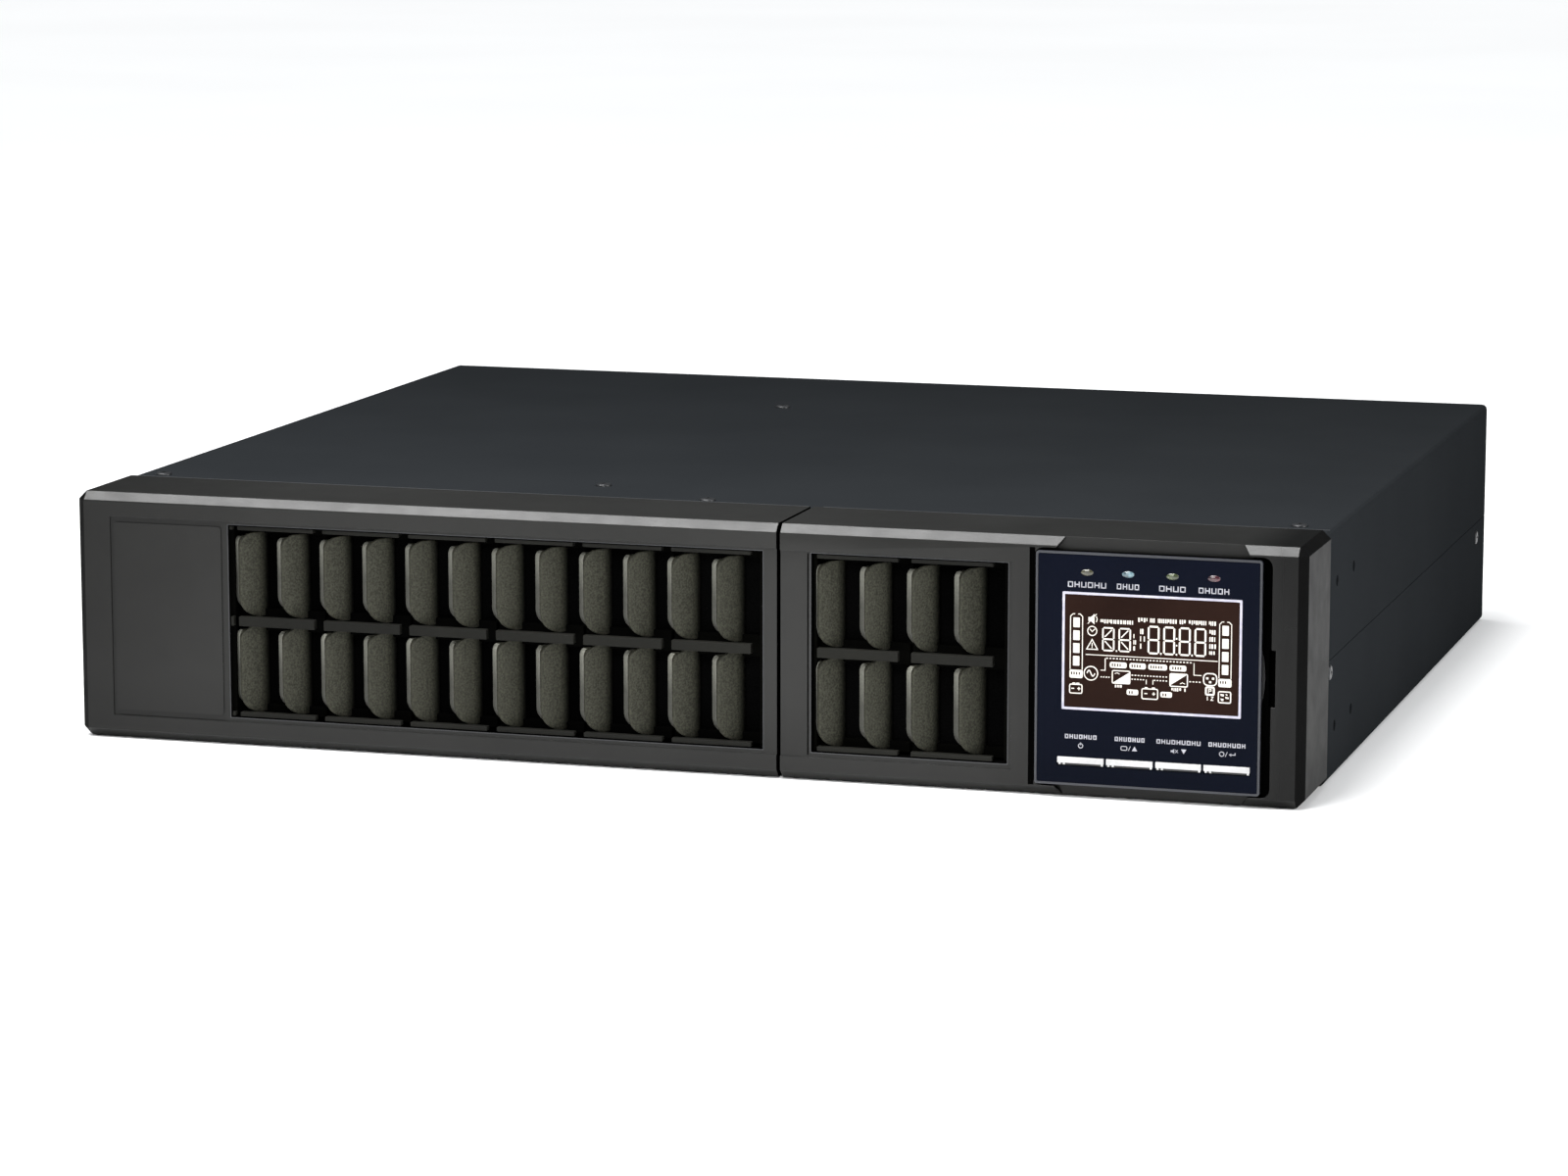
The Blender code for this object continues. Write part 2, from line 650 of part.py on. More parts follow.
def make_battery_tray():
    """The tray that slides out with the batteries, its front plate, handle and strap."""
    low = (TRAY_X[0], TRAY_Y[0], TRAY_Z)
    tray = folded_sheet("battery_tray", low, (TRAY_X[1], TRAY_Y[1], TRAY_Z + TRAY_WALL),
                        [(0, 0, 1)], material("tray_steel", (0.45, 0.46, 0.47), 0.4, 1.0))
    tray.modifiers["bevel"].segments = 2
    front = TRAY_Y[0] - GAP
    zinc_look = material("tray_steel", (0.45, 0.46, 0.47), 0.4, 1.0)
    plate = place(box_mesh("tray_front", (TRAY_X[0], front - SHEET, TRAY_Z + 1.0),
                           (TRAY_X[1] - 1.0, front, INNER_HIGH - 1.0)), "tray_front", steel())
    middle = (TRAY_X[0] + TRAY_X[1]) / 2
    for side in (-1, 1):
        cut_rod(plate, (middle + side * 92.0, 74.0), 2.2, front - 3, front + 1, sides=16,
                label="screw_hole_%d" % (side + 1))
    strap_top = BATTERY_Z + BATTERY[2] + 1.5
    strap = folded_sheet("battery_strap", (TRAY_X[0] + SHEET + 0.4, -10.0, TRAY_Z + 8.0),
                         (TRAY_X[1] - SHEET - 0.4, 10.0, strap_top),
                         [(0, 0, -1), (0, -1, 0), (0, 1, 0)], zinc_look)
    strap.modifiers["bevel"].segments = 2
    make_tray_handle(middle, front - SHEET - GAP)


def make_tray_handle(middle, face_y):
    """A bent wire handle on the tray's front plate."""
    curve = bpy.data.curves.new("tray_handle", "CURVE")
    curve.dimensions = "3D"
    curve.bevel_depth = 2.5 * MM
    curve.bevel_resolution = 1
    curve.use_fill_caps = True
    line = curve.splines.new("POLY")
    reach = 22.0
    span = 42.0
    corner = 6.0
    points = [(-span, 0.0)]
    for step in range(4):
        turn = math.radians(30 * step)
        points.append((-span + corner * (1 - math.cos(turn)),
                       -reach + corner * (1 - math.sin(turn))))
    points += [(-x, y) for x, y in reversed(points)]
    line.points.add(len(points) - 1)
    for spot, (x, y) in zip(line.points, points):
        spot.co = ((middle + x) * MM, (face_y + y) * MM, HEAD_Z * MM, 1.0)
    handle = bpy.data.objects.new("tray_handle", curve)
    handle.data.materials.append(zinc())
    PARTS.objects.link(handle)


def make_batteries():
    """Four sealed lead-acid batteries lying on their long sides, and their connector."""
    case = material("battery_case", (0.09, 0.095, 0.1), 0.5)
    middle = (TRAY_X[0] + TRAY_X[1]) / 2
    length_mid = (TRAY_Y[0] + TRAY_Y[1]) / 2
    for index in range(4):
        column = -1 if index % 2 == 0 else 1
        row = -1 if index < 2 else 1
        x = middle + column * (BATTERY[0] / 2 + 0.5)
        y = length_mid + row * (BATTERY[1] / 2 + 0.4)
        name = "battery_%d" % (index + 1)
        half = Vector((BATTERY[0] / 2, BATTERY[1] / 2, 0))
        base = Vector((x, y, BATTERY_Z))
        cell = place(box_mesh(name, base - half, base + half + Vector((0, 0, BATTERY[2]))),
                     name, case)
        bevel(cell, 1.5, segments=2)
    plug = material("connector_grey", (0.2, 0.2, 0.21), 0.45)
    connector = place(box_mesh("battery_connector", (-58.0, TRAY_Y[1] + GAP, 9.0),
                               (-20.0, TRAY_Y[1] + 14.0, 25.0)), "battery_connector", plug)
    bevel(connector, 1.0)


# ---------------------------------------------------------------- electronics

def make_main_board():
    """The main circuit board."""
    look = material("circuit_board", (0.01, 0.09, 0.04), 0.4)
    place(box_mesh("main_board", (4.0, -132.0, 9.0), (213.0, 152.0, 10.6)), "main_board", look)


def make_heatsink(name, low_x, low_y, length):
    """An extruded heat sink: an upright spine with fins to one side."""
    alloy = material("aluminium_fins", (0.6, 0.61, 0.62), 0.35, 1.0)
    low_z = 11.0
    spine = 5.0
    fin = 2.0
    reach = 34.0
    gap = 6.5
    count = 8
    outline = [(low_x, low_z)]
    for index in range(count):
        z = low_z + index * (fin + gap)
        outline += [(low_x + reach, z), (low_x + reach, z + fin)]
        if index < count - 1:
            outline += [(low_x + spine, z + fin), (low_x + spine, z + fin + gap)]
    outline.append((low_x, low_z + (count - 1) * (fin + gap) + fin))
    place(plate_mesh(name, outline, low_y, low_y + length), name, alloy)


def make_transformer():
    """The laminated transformer: a core with its winding."""
    look = material("laminated_core", (0.12, 0.1, 0.08), 0.5, 0.6)
    core = place(box_mesh("transformer", (70.0, 20.0, 11.0), (126.0, 66.0, 61.0)),
                 "transformer", look)
    combine(core, box_mesh("winding", (79.0, 11.0, 20.0), (117.0, 75.0, 52.0)), "UNION")
    bevel(core, 1.2)


def make_choke(name, x, y):
    """A toroidal choke standing on the board."""
    bpy.ops.mesh.primitive_torus_add(
        major_segments=24, minor_segments=8, major_radius=17 * MM, minor_radius=7 * MM,
        location=(0, 0, 0), rotation=(math.radians(90), 0, 0))
    ring = bpy.context.object
    ring.name = name
    ring.location = (x * MM, y * MM, 35.5 * MM)
    for other in ring.users_collection:
        other.objects.unlink(ring)
    PARTS.objects.link(ring)
    ring.data.materials.append(material("copper_winding", (0.45, 0.17, 0.06), 0.35, 0.8))


def make_electronics():
    """What the board carries."""
    make_main_board()
    make_heatsink("heatsink_left", 12.0, -70.0, 130.0)
    make_heatsink("heatsink_right", 172.0, -70.0, 130.0)
    make_transformer()
    make_choke("filter_choke", 76.0, -30.0)
    make_choke("output_choke", 76.0, 120.0)
    sleeve = material("capacitor_sleeve", (0.02, 0.025, 0.06), 0.3)
    for index in range(4):
        name = "bus_capacitor_%d" % (index + 1)
        spot = (114.0 + 34.0 * (index % 2), -70.0 + 34.0 * (index // 2))
        can = place(rod_mesh(name, spot, 15.0, 11.0, 56.0, axis="Z", sides=24), name, sleeve)
        bevel(can, 1.5)


# ---------------------------------------------------------------- fan

def make_fan_frame():
    """The fan's square frame with its bore, motor seat and four struts."""
    look = socket_plastic()
    half = FAN_SIZE / 2
    back = PANEL[0] - GAP
    front = back - 25.0
    outline = round_corners(rectangle((FAN_X - half, FAN_Z - half), (FAN_X + half, FAN_Z + half)),
                            4.0, 2)
    frame = place(plate_mesh("fan_frame", outline, front, back), "fan_frame", look)
    cut_rod(frame, (FAN_X, FAN_Z), FAN_BORE, front - 1, back + 1, sides=48)
    bm = bmesh.new()
    strut = 1.6
    reach = FAN_BORE + 0.8
    add_box(bm, (FAN_X - reach, back - 3.5, FAN_Z - strut), (FAN_X + reach, back - 0.6, FAN_Z + strut))
    combine(frame, finish_mesh(bm, "strut_level"), "UNION")
    bm = bmesh.new()
    add_box(bm, (FAN_X - strut, back - 3.4, FAN_Z - reach), (FAN_X + strut, back - 0.7, FAN_Z + reach))
    combine(frame, finish_mesh(bm, "strut_upright"), "UNION")
    combine(frame, rod_mesh("seat", (FAN_X, FAN_Z), 17.0, back - 4.5, back - 0.3, sides=32), "UNION")
    holes = 35.75
    for index, (side, level) in enumerate(((-1, -1), (1, -1), (1, 1), (-1, 1))):
        cut_rod(frame, (FAN_X + side * holes, FAN_Z + level * holes), 2.15, front - 1, back + 1,
                sides=12, label="fan_hole_%d" % index)


def make_fan_rotor():
    """The rotor: a hub with seven pitched blades, turning about Y."""
    look = socket_plastic()
    back = PANEL[0] - GAP - 5.5
    front = back - 17.0
    rotor = place(rod_mesh("fan_rotor", (FAN_X, FAN_Z), 16.5, front, back, sides=28),
                  "fan_rotor", look, (FAN_X, (front + back) / 2, FAN_Z))
    blades = 7
    bm = bmesh.new()
    for index in range(blades):
        made = bmesh.ops.create_cube(bm, size=1.0)
        size = Matrix.Diagonal((1.6, 17.0, 21.0, 1.0))
        pitch = Matrix.Rotation(math.radians(42), 4, "Z")
        out = Matrix.Translation((0, 0, 15.5 + 10.5))
        spin = Matrix.Rotation(2 * math.pi * index / blades, 4, "Y")
        hub = Matrix.Translation((FAN_X, (front + back) / 2, FAN_Z))
        move = Matrix.Scale(MM, 4) @ hub @ spin @ out @ pitch @ size
        bmesh.ops.transform(bm, matrix=move, verts=made["verts"])
    combine(rotor, finish_mesh(bm, "blades"), "UNION")


def make_fan_guard():
    """The guard over the fan: rings joined by two crossing bars."""
    look = zinc()
    depth = (FLANGE_Y, FLANGE_Y + 1.0)
    guard = place(rod_mesh("fan_guard", (FAN_X, FAN_Z), 38.0, *depth, sides=40), "fan_guard", look)
    bm = bmesh.new()
    for outer in (36.2, 28.4, 20.6):
        add_rod(bm, (FAN_X, FAN_Z), outer, depth[0] - 1, depth[1] + 1, sides=40)
        inner = add_rod(bm, (FAN_X, FAN_Z), outer - 6.0, depth[0] - 1, depth[1] + 1, sides=40)
        bmesh.ops.reverse_faces(bm, faces=list({face for vert in inner for face in vert.link_faces}))
    mesh = bpy.data.meshes.new("rings")
    bm.to_mesh(mesh)
    bm.free()
    combine(guard, mesh)
    bm = bmesh.new()
    add_box(bm, (FAN_X - 51.0, depth[0] + 0.1, FAN_Z - 1.5), (FAN_X + 42.0, depth[1] - 0.1, FAN_Z + 1.5))
    combine(guard, finish_mesh(bm, "bar_level"), "UNION")


# ---------------------------------------------------------------- rear fittings

def fitting(name, centre, opening, flange, look, inner_depth, outer=2.0, corner=1.0):
    """A fitting through the rear panel: a flange outside and a body behind."""
    low = (centre[0] - flange[0] / 2, centre[1] - flange[1] / 2)
    high = (centre[0] + flange[0] / 2, centre[1] + flange[1] / 2)
    part = rounded_plate(name, low, high, (FLANGE_Y, FLANGE_Y + outer), corner, look, steps=2)
    half_x = opening[0] / 2 - GAP
    half_z = opening[1] / 2 - GAP
    combine(part, box_mesh("body", (centre[0] - half_x, PANEL[0] - inner_depth, centre[1] - half_z),
                           (centre[0] + half_x, FLANGE_Y + outer / 2, centre[1] + half_z)), "UNION")
    return part


def c13_recesses(bank, centre):
    """The groove around an outlet's core and the three slots in the core."""
    x, z = centre
    face = FLANGE_Y + 2.0
    ring = plate_mesh("groove_%d_%d" % (x, z), round_corners(
        rectangle((x - 13.6, z - 9.8), (x + 13.6, z + 9.8)), 2.5, 2), face - 15.0, face + 1)
    core = plate_mesh("core_%d_%d" % (x, z), round_corners(
        rectangle((x - 11.2, z - 7.4), (x + 11.2, z + 7.4)), 1.6, 2), face - 16.0, face - 0.6)
    combine(bank, ring)
    combine(bank, core, "UNION")
    slots = []
    for offset, level in ((-7.0, -1.4), (0.0, 2.6), (7.0, -1.4)):
        slots.append(((x + offset - 1.2, face - 13.0, z + level - 2.3),
                      (x + offset + 1.2, face + 1, z + level + 2.3)))
    cut_boxes(bank, slots, "slots_%d_%d" % (x, z))


def make_outlets():
    """Two blocks of four outlets."""
    opening = (66.0, 60.0)
    for index, centre_x in enumerate(BANK_CENTRES_X):
        bank = fitting("outlet_block_%d" % (index + 1), (centre_x, BANK_Z), opening, (72.0, 68.0),
                       socket_plastic(), 16.0, corner=2.0)
        for side in (-1, 1):
            for level in (-1, 1):
                c13_recesses(bank, (centre_x + side * OUTLET_PITCH[0] / 2,
                                    BANK_Z + level * OUTLET_PITCH[1] / 2))


def make_inlet():
    """The mains inlet and its resettable breaker."""
    inlet = fitting("mains_inlet", (INLET_X, INLET_Z), (28.6, 21.4), (33.0, 25.0),
                    socket_plastic(), 20.0)
    face = FLANGE_Y + 2.0
    outline = round_corners(rectangle((INLET_X - 12.2, INLET_Z - 8.3),
                                      (INLET_X + 12.2, INLET_Z + 8.3)), 2.5, 2)
    combine(inlet, plate_mesh("recess", outline, face - 16.0, face + 1))
    breaker = place(rod_mesh("breaker", (INLET_X, BREAKER_Z), 8.5, FLANGE_Y, FLANGE_Y + 2.4, sides=6),
                    "breaker", socket_plastic())
    combine(breaker, rod_mesh("neck", (INLET_X, BREAKER_Z), 6.0, PANEL[0] - 2.0, FLANGE_Y + 1.0,
                              sides=24), "UNION")
    combine(breaker, box_mesh("body", (INLET_X - 7.0, PANEL[0] - 30.0, BREAKER_Z - 14.0),
                              (INLET_X + 7.0, PANEL[0] - 1.0, BREAKER_Z + 14.0)), "UNION")
    cut_rod(breaker, (INLET_X, BREAKER_Z), 4.3, PANEL[0] - 12.0, FLANGE_Y + 4.0, sides=24)
    red = material("breaker_red", (0.45, 0.02, 0.015), 0.35)
    button = place(rod_mesh("breaker_button", (INLET_X, BREAKER_Z), 4.0, PANEL[0] - 6.0, REAR_LIMIT,
                            sides=24), "breaker_button", red, (INLET_X, REAR_LIMIT, BREAKER_Z))
    bevel(button, 0.6)


def make_ports():
    """Signal ports, the emergency terminal and the line-protection jacks."""
    x, z = SERIAL_CENTRE
    serial = fitting("serial_port", SERIAL_CENTRE, (20.0, 11.4), (31.0, 13.0), zinc(), 10.0, outer=0.9)
    shell = round_corners([(x - 8.0, z - 4.3), (x + 8.0, z - 4.3), (x + 9.2, z + 4.3),
                           (x - 9.2, z + 4.3)], 1.4, 2)
    combine(serial, plate_mesh("shell", shell, FLANGE_Y + 0.4, REAR_LIMIT - 0.2), "UNION")
    inside = round_corners([(x - 7.4, z - 3.6), (x + 7.4, z - 3.6), (x + 8.4, z + 3.6),
                            (x - 8.4, z + 3.6)], 1.0, 2)
    combine(serial, plate_mesh("socket", inside, REAR_LIMIT - 6.5, REAR_LIMIT + 1))

    x, z = USB_CENTRE
    usb = fitting("usb_port", USB_CENTRE, (12.6, 11.6), (14.0, 13.0), zinc(), 14.0, outer=0.8)
    cut_boxes(usb, [((x - 4.3, FLANGE_Y - 9.0, z - 4.0), (x + 4.3, FLANGE_Y + 2.0, z + 4.0))], "socket")

    x, z = SURGE_CENTRE
    surge = fitting("line_jacks", SURGE_CENTRE, (32.0, 13.0), (36.0, 15.6), socket_plastic(), 14.0,
                    outer=1.4)
    cut_boxes(surge, [((x + side * 7.5 - 5.9, FLANGE_Y - 10.0, z - 4.2),
                       (x + side * 7.5 + 5.9, FLANGE_Y + 3.0, z + 4.2)) for side in (-1, 1)], "sockets")

    x, z = EPO_CENTRE
    green = material("terminal_green", (0.03, 0.3, 0.08), 0.4)
    epo = fitting("stop_terminal", EPO_CENTRE, (12.6, 9.6), (14.0, 11.0), green, 8.0, outer=4.6,
                  corner=0.5)
    for side in (-1, 1):
        cut_rod(epo, (x + side * 2.6, z), 1.3, FLANGE_Y, FLANGE_Y + 6.0, sides=12,
                label="wire_hole_%d" % (side + 1))


def make_external_connector():
    """The two-pole socket for a further battery pack."""
    look = material("connector_grey", (0.2, 0.2, 0.21), 0.45)
    x, z = EXTERNAL_CENTRE
    block = fitting("pack_connector", EXTERNAL_CENTRE, (37.0, 19.0), (46.0, 23.0), look, 6.0,
                    outer=4.0, corner=1.5)
    cut_boxes(block, [((x + side * 8.8 - 7.6, PANEL[0] - 3.0, z - 7.0),
                       (x + side * 8.8 + 7.6, FLANGE_Y + 6.0, z + 7.0)) for side in (-1, 1)], "poles")


def make_slot_cover():
    """The plate over the communication-card slot, its two thumb screws, and the earth stud."""
    x, z = SLOT_CENTRE
    half = (SLOT_SIZE[0] / 2, SLOT_SIZE[1] / 2)
    cover = rounded_plate("card_slot_cover", (x - half[0], z - half[1]), (x + half[0], z + half[1]),
                          (FLANGE_Y, FLANGE_Y + SHEET), 1.5, steel(), steps=2)
    bevel(cover, 0.2)
    face = FLANGE_Y + SHEET + GAP
    for index, side in enumerate((-1, 1)):
        name = "thumb_screw_%d" % (index + 1)
        spot = (x + side * (half[0] - 7.0), z)
        screw = place(rod_mesh(name, spot, 4.6, face, REAR_LIMIT - 0.3, sides=24), name, zinc())
        bevel(screw, 0.5)
    stud = place(rod_mesh("earth_stud", GROUND_CENTRE, 4.0, FLANGE_Y, FLANGE_Y + 2.6, sides=6),
                 "earth_stud", material("brass_stud", (0.6, 0.42, 0.16), 0.3, 1.0))
    combine(stud, rod_mesh("thread", GROUND_CENTRE, 2.0, PANEL[0] - 4.0, REAR_LIMIT - 0.4, sides=16),
            "UNION")


def make_rear_panel():
    """The rear sheet with an opening for each fitting."""
    panel = place(box_mesh("rear_panel", (-INNER_HALF, PANEL[0], INNER_LOW),
                           (INNER_HALF, PANEL[1], INNER_HIGH)), "rear_panel", steel())
    through = (PANEL[0] - 1, PANEL[1] + 1)
    openings = [((INLET_X, INLET_Z), (28.6, 21.4)), (SERIAL_CENTRE, (20.0, 11.4)),
                (USB_CENTRE, (12.6, 11.6)), (SURGE_CENTRE, (32.0, 13.0)), (EPO_CENTRE, (12.6, 9.6)),
                (EXTERNAL_CENTRE, (37.0, 19.0))]
    openings += [((centre_x, BANK_Z), (66.0, 60.0)) for centre_x in BANK_CENTRES_X]
    boxes = []
    for (x, z), (wide, high) in openings:
        boxes.append(((x - wide / 2, through[0], z - high / 2), (x + wide / 2, through[1], z + high / 2)))
    cut_boxes(panel, boxes, "openings")
    cut_rod(panel, (FAN_X, FAN_Z), FAN_BORE, *through, sides=48, label="fan_opening")
    cut_rod(panel, (INLET_X, BREAKER_Z), 6.4, *through, sides=24, label="breaker_hole")
    cut_rod(panel, GROUND_CENTRE, 2.3, *through, sides=16, label="stud_hole")


# ---------------------------------------------------------------- the whole

def smooth_round_parts():
    """Shades every part smooth, with its sharp edges kept."""
    for part in PARTS.objects:
        if part.type == "MESH":
            part.data.shade_smooth()
            part.data.set_sharp_from_angle(angle=math.radians(35))


def build():
    """Makes every part."""
    make_case()
    make_inner_walls()
    make_battery_door()
    make_grille("door_grille", DOOR_WINDOW_X, DOOR_FIRST_BLADE_X, DOOR_BLADES, True)
    make_front_bezel()
    make_grille("intake_grille", INTAKE_WINDOW_X, INTAKE_FIRST_BLADE_X, INTAKE_BLADES, False)
    make_intake_filter()
    make_display_carrier()
    make_display_frame()
    make_display_lens()
    make_display_screen()
    make_keys()
    make_light_guides()
    make_battery_tray()
    make_batteries()
    make_electronics()
    make_fan_frame()
    make_fan_rotor()
    make_fan_guard()
    make_outlets()
    make_inlet()
    make_ports()
    make_external_connector()
    make_slot_cover()
    make_rear_panel()
    smooth_round_parts()


clear_scene()
PARTS = new_collection("uninterruptible_power_supply")
CUTTERS = new_collection("cutters")
build()
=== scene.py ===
import random
from math import cos, pi, radians, sin

import bmesh
import bpy
from mathutils import Matrix, Vector


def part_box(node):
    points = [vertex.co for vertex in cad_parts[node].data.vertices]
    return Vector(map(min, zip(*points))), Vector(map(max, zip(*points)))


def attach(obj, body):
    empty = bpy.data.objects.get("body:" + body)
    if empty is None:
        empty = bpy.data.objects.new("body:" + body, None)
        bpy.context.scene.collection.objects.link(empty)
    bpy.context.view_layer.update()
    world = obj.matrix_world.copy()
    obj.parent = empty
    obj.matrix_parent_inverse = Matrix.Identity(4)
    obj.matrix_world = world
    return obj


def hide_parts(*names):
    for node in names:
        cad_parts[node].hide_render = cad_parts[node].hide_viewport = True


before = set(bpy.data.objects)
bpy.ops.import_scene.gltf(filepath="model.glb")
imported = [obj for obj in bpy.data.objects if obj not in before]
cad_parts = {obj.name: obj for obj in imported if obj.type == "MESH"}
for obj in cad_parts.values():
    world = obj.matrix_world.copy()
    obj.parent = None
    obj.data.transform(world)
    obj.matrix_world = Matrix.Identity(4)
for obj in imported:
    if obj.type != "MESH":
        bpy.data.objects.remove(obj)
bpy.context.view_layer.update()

MM = 0.001


def node_box(node):
    """The corners of a CAD node, in millimetres."""
    low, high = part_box(node)
    return Vector(low) / MM, Vector(high) / MM


def centre_of(node):
    """The middle of a CAD node in X and Z."""
    low, high = node_box(node)
    return (low.x + high.x) / 2, (low.z + high.z) / 2


DOOR_LOW, DOOR_HIGH = node_box("battery_door")
COVER_LOW, COVER_HIGH = node_box("top_cover")
PANEL_FACE = node_box("rear_panel")[1].y
HEAD_LOW, HEAD_HIGH = node_box("display_frame")
SCREEN_LOW, SCREEN_HIGH = node_box("display_screen")
LENS_LOW = node_box("display_lens")[0]
GRILLES = (node_box("door_grille"), node_box("intake_grille"))
FRONT = DOOR_LOW.y
REAR = COVER_HIGH.y


# --- mesh tools ---

def block(bm, low, high):
    """Adds a block between two corners."""
    low = Vector(low)
    high = Vector(high)
    made = bmesh.ops.create_cube(bm, size=1.0)
    size = Matrix.Diagonal((*(high - low), 1.0))
    bmesh.ops.transform(bm, matrix=Matrix.Translation((low + high) / 2) @ size, verts=made["verts"])


def along(centre, distance, axis):
    """The point at a distance along an axis, with its other two coordinates in centre."""
    point = list(centre)
    point.insert("XYZ".index(axis), distance)
    return Vector(point)


def rod(bm, centre, radius, low, high, axis, sides):
    """Adds a round rod from low to high along Y or Z."""
    made = bmesh.ops.create_cone(bm, cap_ends=True, segments=sides, radius1=radius, radius2=radius,
                                 depth=high - low)
    turn = Matrix.Rotation(radians(-90 if axis == "Y" else 0), 4, "X")
    move = Matrix.Translation(along(centre, (low + high) / 2, axis))
    bmesh.ops.transform(bm, matrix=move @ turn, verts=made["verts"])


def rounded(low, high, radius, steps=4):
    """The outline of a rectangle with round corners, anticlockwise."""
    right, left = high[0] - radius, low[0] + radius
    top, bottom = high[1] - radius, low[1] + radius
    points = []
    for quarter, (x, z) in enumerate(((right, top), (left, top), (left, bottom), (right, bottom))):
        for step in range(steps + 1):
            turn = radians(90 * quarter + 90 * step / steps)
            points.append((x + radius * cos(turn), z + radius * sin(turn)))
    return points


def oval(centre, reach, count=32):
    """An ellipse's outline."""
    turns = [2 * pi * step / count for step in range(count)]
    return [(centre[0] + reach[0] * cos(turn), centre[1] + reach[1] * sin(turn))
            for turn in turns]


def thicken(bm, faces, depth):
    """Extrudes faces along Y."""
    grown = bmesh.ops.extrude_face_region(bm, geom=faces)
    moved = [item for item in grown["geom"] if isinstance(item, bmesh.types.BMVert)]
    bmesh.ops.translate(bm, verts=moved, vec=(0, depth, 0))


def prism(bm, outline, low, high):
    """An outline in X and Z filled from low to high along Y."""
    thicken(bm, [bm.faces.new([bm.verts.new((x, low, z)) for x, z in outline])], high - low)


def bridge(bm, rings, closed=False):
    """Faces between each ring of vertices and the next."""
    for first, second in zip(rings, rings[1:] + rings[:1] if closed else rings[1:]):
        for index in range(len(first)):
            after = (index + 1) % len(first)
            bm.faces.new((first[index], first[after], second[after], second[index]))


def frame_prism(bm, outer, inner, low, high):
    """The ring between two outlines with as many points each, from low to high along Y."""
    bridge(bm, [[bm.verts.new((x, depth, z)) for x, z in outline] for outline, depth in (
        (outer, low), (outer, high), (inner, high), (inner, low))], True)


def pierced(bm, outline, holes, low, high):
    """An outline with holes in it, from low to high along Y."""
    rim = []
    for loop in [outline] + list(holes):
        ring = [bm.verts.new((x, low, z)) for x, z in loop]
        rim += [bm.edges.new((ring[index - 1], ring[index])) for index in range(len(ring))]
    made = bmesh.ops.triangle_fill(bm, edges=rim, use_beauty=True)
    thicken(bm, [item for item in made["geom"] if isinstance(item, bmesh.types.BMFace)], high - low)


def stroke(bm, points, width, low, high, closed=False):
    """A drawn line of even width through points in X and Z, with mitred corners."""
    points = [Vector(point) for point in points]
    start, end = (points[-1], points[0]) if closed else (None, None)
    sides = ([], [])
    for before, here, after in zip([start] + points, points, points[1:] + [end]):
        ways = [(second - first).normalized() for first, second in ((before, here), (here, after))
                if first is not None and second is not None]
        way = sum(ways, Vector((0, 0))).normalized()
        normal = Vector((-way.y, way.x))
        stretch = max(normal.dot(Vector((-ways[0].y, ways[0].x))), 0.35)
        offset = normal * (width / 2 / stretch)
        sides[0].append(here + offset)
        sides[1].append(here - offset)
    if closed:
        frame_prism(bm, sides[0], sides[1], low, high)
    else:
        prism(bm, sides[0] + sides[1][::-1], low, high)


def soften(bm, width, angle=35.0, segments=2):
    """Rounds every edge sharper than angle."""
    sharp = [edge for edge in bm.edges
             if len(edge.link_faces) == 2 and edge.calc_face_angle(0) > radians(angle)]
    bmesh.ops.bevel(bm, geom=sharp, offset=width, segments=segments, profile=0.5,
                    affect="EDGES", clamp_overlap=True)


def new_object(name, data):
    """An object that is linked to the scene."""
    made = bpy.data.objects.new(name, data)
    bpy.context.scene.collection.objects.link(made)
    return made


def finish_piece(bm, name, look, body, replaces=(), smooth_angle=12.0):
    """Turns a bmesh in millimetres into a piece that rides a body."""
    bmesh.ops.recalc_face_normals(bm, faces=bm.faces)
    bmesh.ops.scale(bm, vec=(MM, MM, MM), verts=bm.verts)
    mesh = bpy.data.meshes.new(name)
    bm.to_mesh(mesh)
    bm.free()
    mesh.shade_smooth()
    mesh.set_sharp_from_angle(angle=radians(smooth_angle))
    piece = new_object(name, mesh)
    mesh.materials.append(look)
    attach(piece, body)
    if replaces:
        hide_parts(*replaces)
    return piece


def refined(node, body, look, width):
    """A copy of a CAD node with its edges slightly rounded, which stands for the node."""
    bm = bmesh.new()
    bm.from_mesh(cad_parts[node].data)
    bmesh.ops.scale(bm, vec=(1 / MM,) * 3, verts=bm.verts)
    bmesh.ops.remove_doubles(bm, verts=bm.verts, dist=0.001)
    bmesh.ops.dissolve_limit(bm, angle_limit=radians(1.0), verts=bm.verts, edges=bm.edges)
    soften(bm, width)
    return finish_piece(bm, node + "_shell", look, body, (node,))


def shade_faces(piece, looks, choose):
    """Gives each face the look that choose names for its centre (mm) and its normal, or none."""
    for look in looks.values():
        piece.data.materials.append(look)
    for face in piece.data.polygons:
        key = choose(face.center / MM, face.normal)
        if key:
            face.material_index = 1 + list(looks).index(key)


# --- materials ---

SHADER_INPUTS = {"roughness": "Roughness", "metallic": "Metallic", "specular": "Specular IOR Level",
                 "coat": "Coat Weight", "clear": "Transmission Weight",
                 "glow": "Emission Strength", "glow_colour": "Emission Color"}
ROW_FOOT = 11.4
ROW_PITCH = 34.1


def linear(value):
    """A display value from 0 to 255 as linear light."""
    value /= 255
    return value / 12.92 if value <= 0.04045 else ((value + 0.055) / 1.055) ** 2.4


def colour(red, green, blue):
    """A display colour as a shader takes it."""
    return (linear(red), linear(green), linear(blue), 1.0)


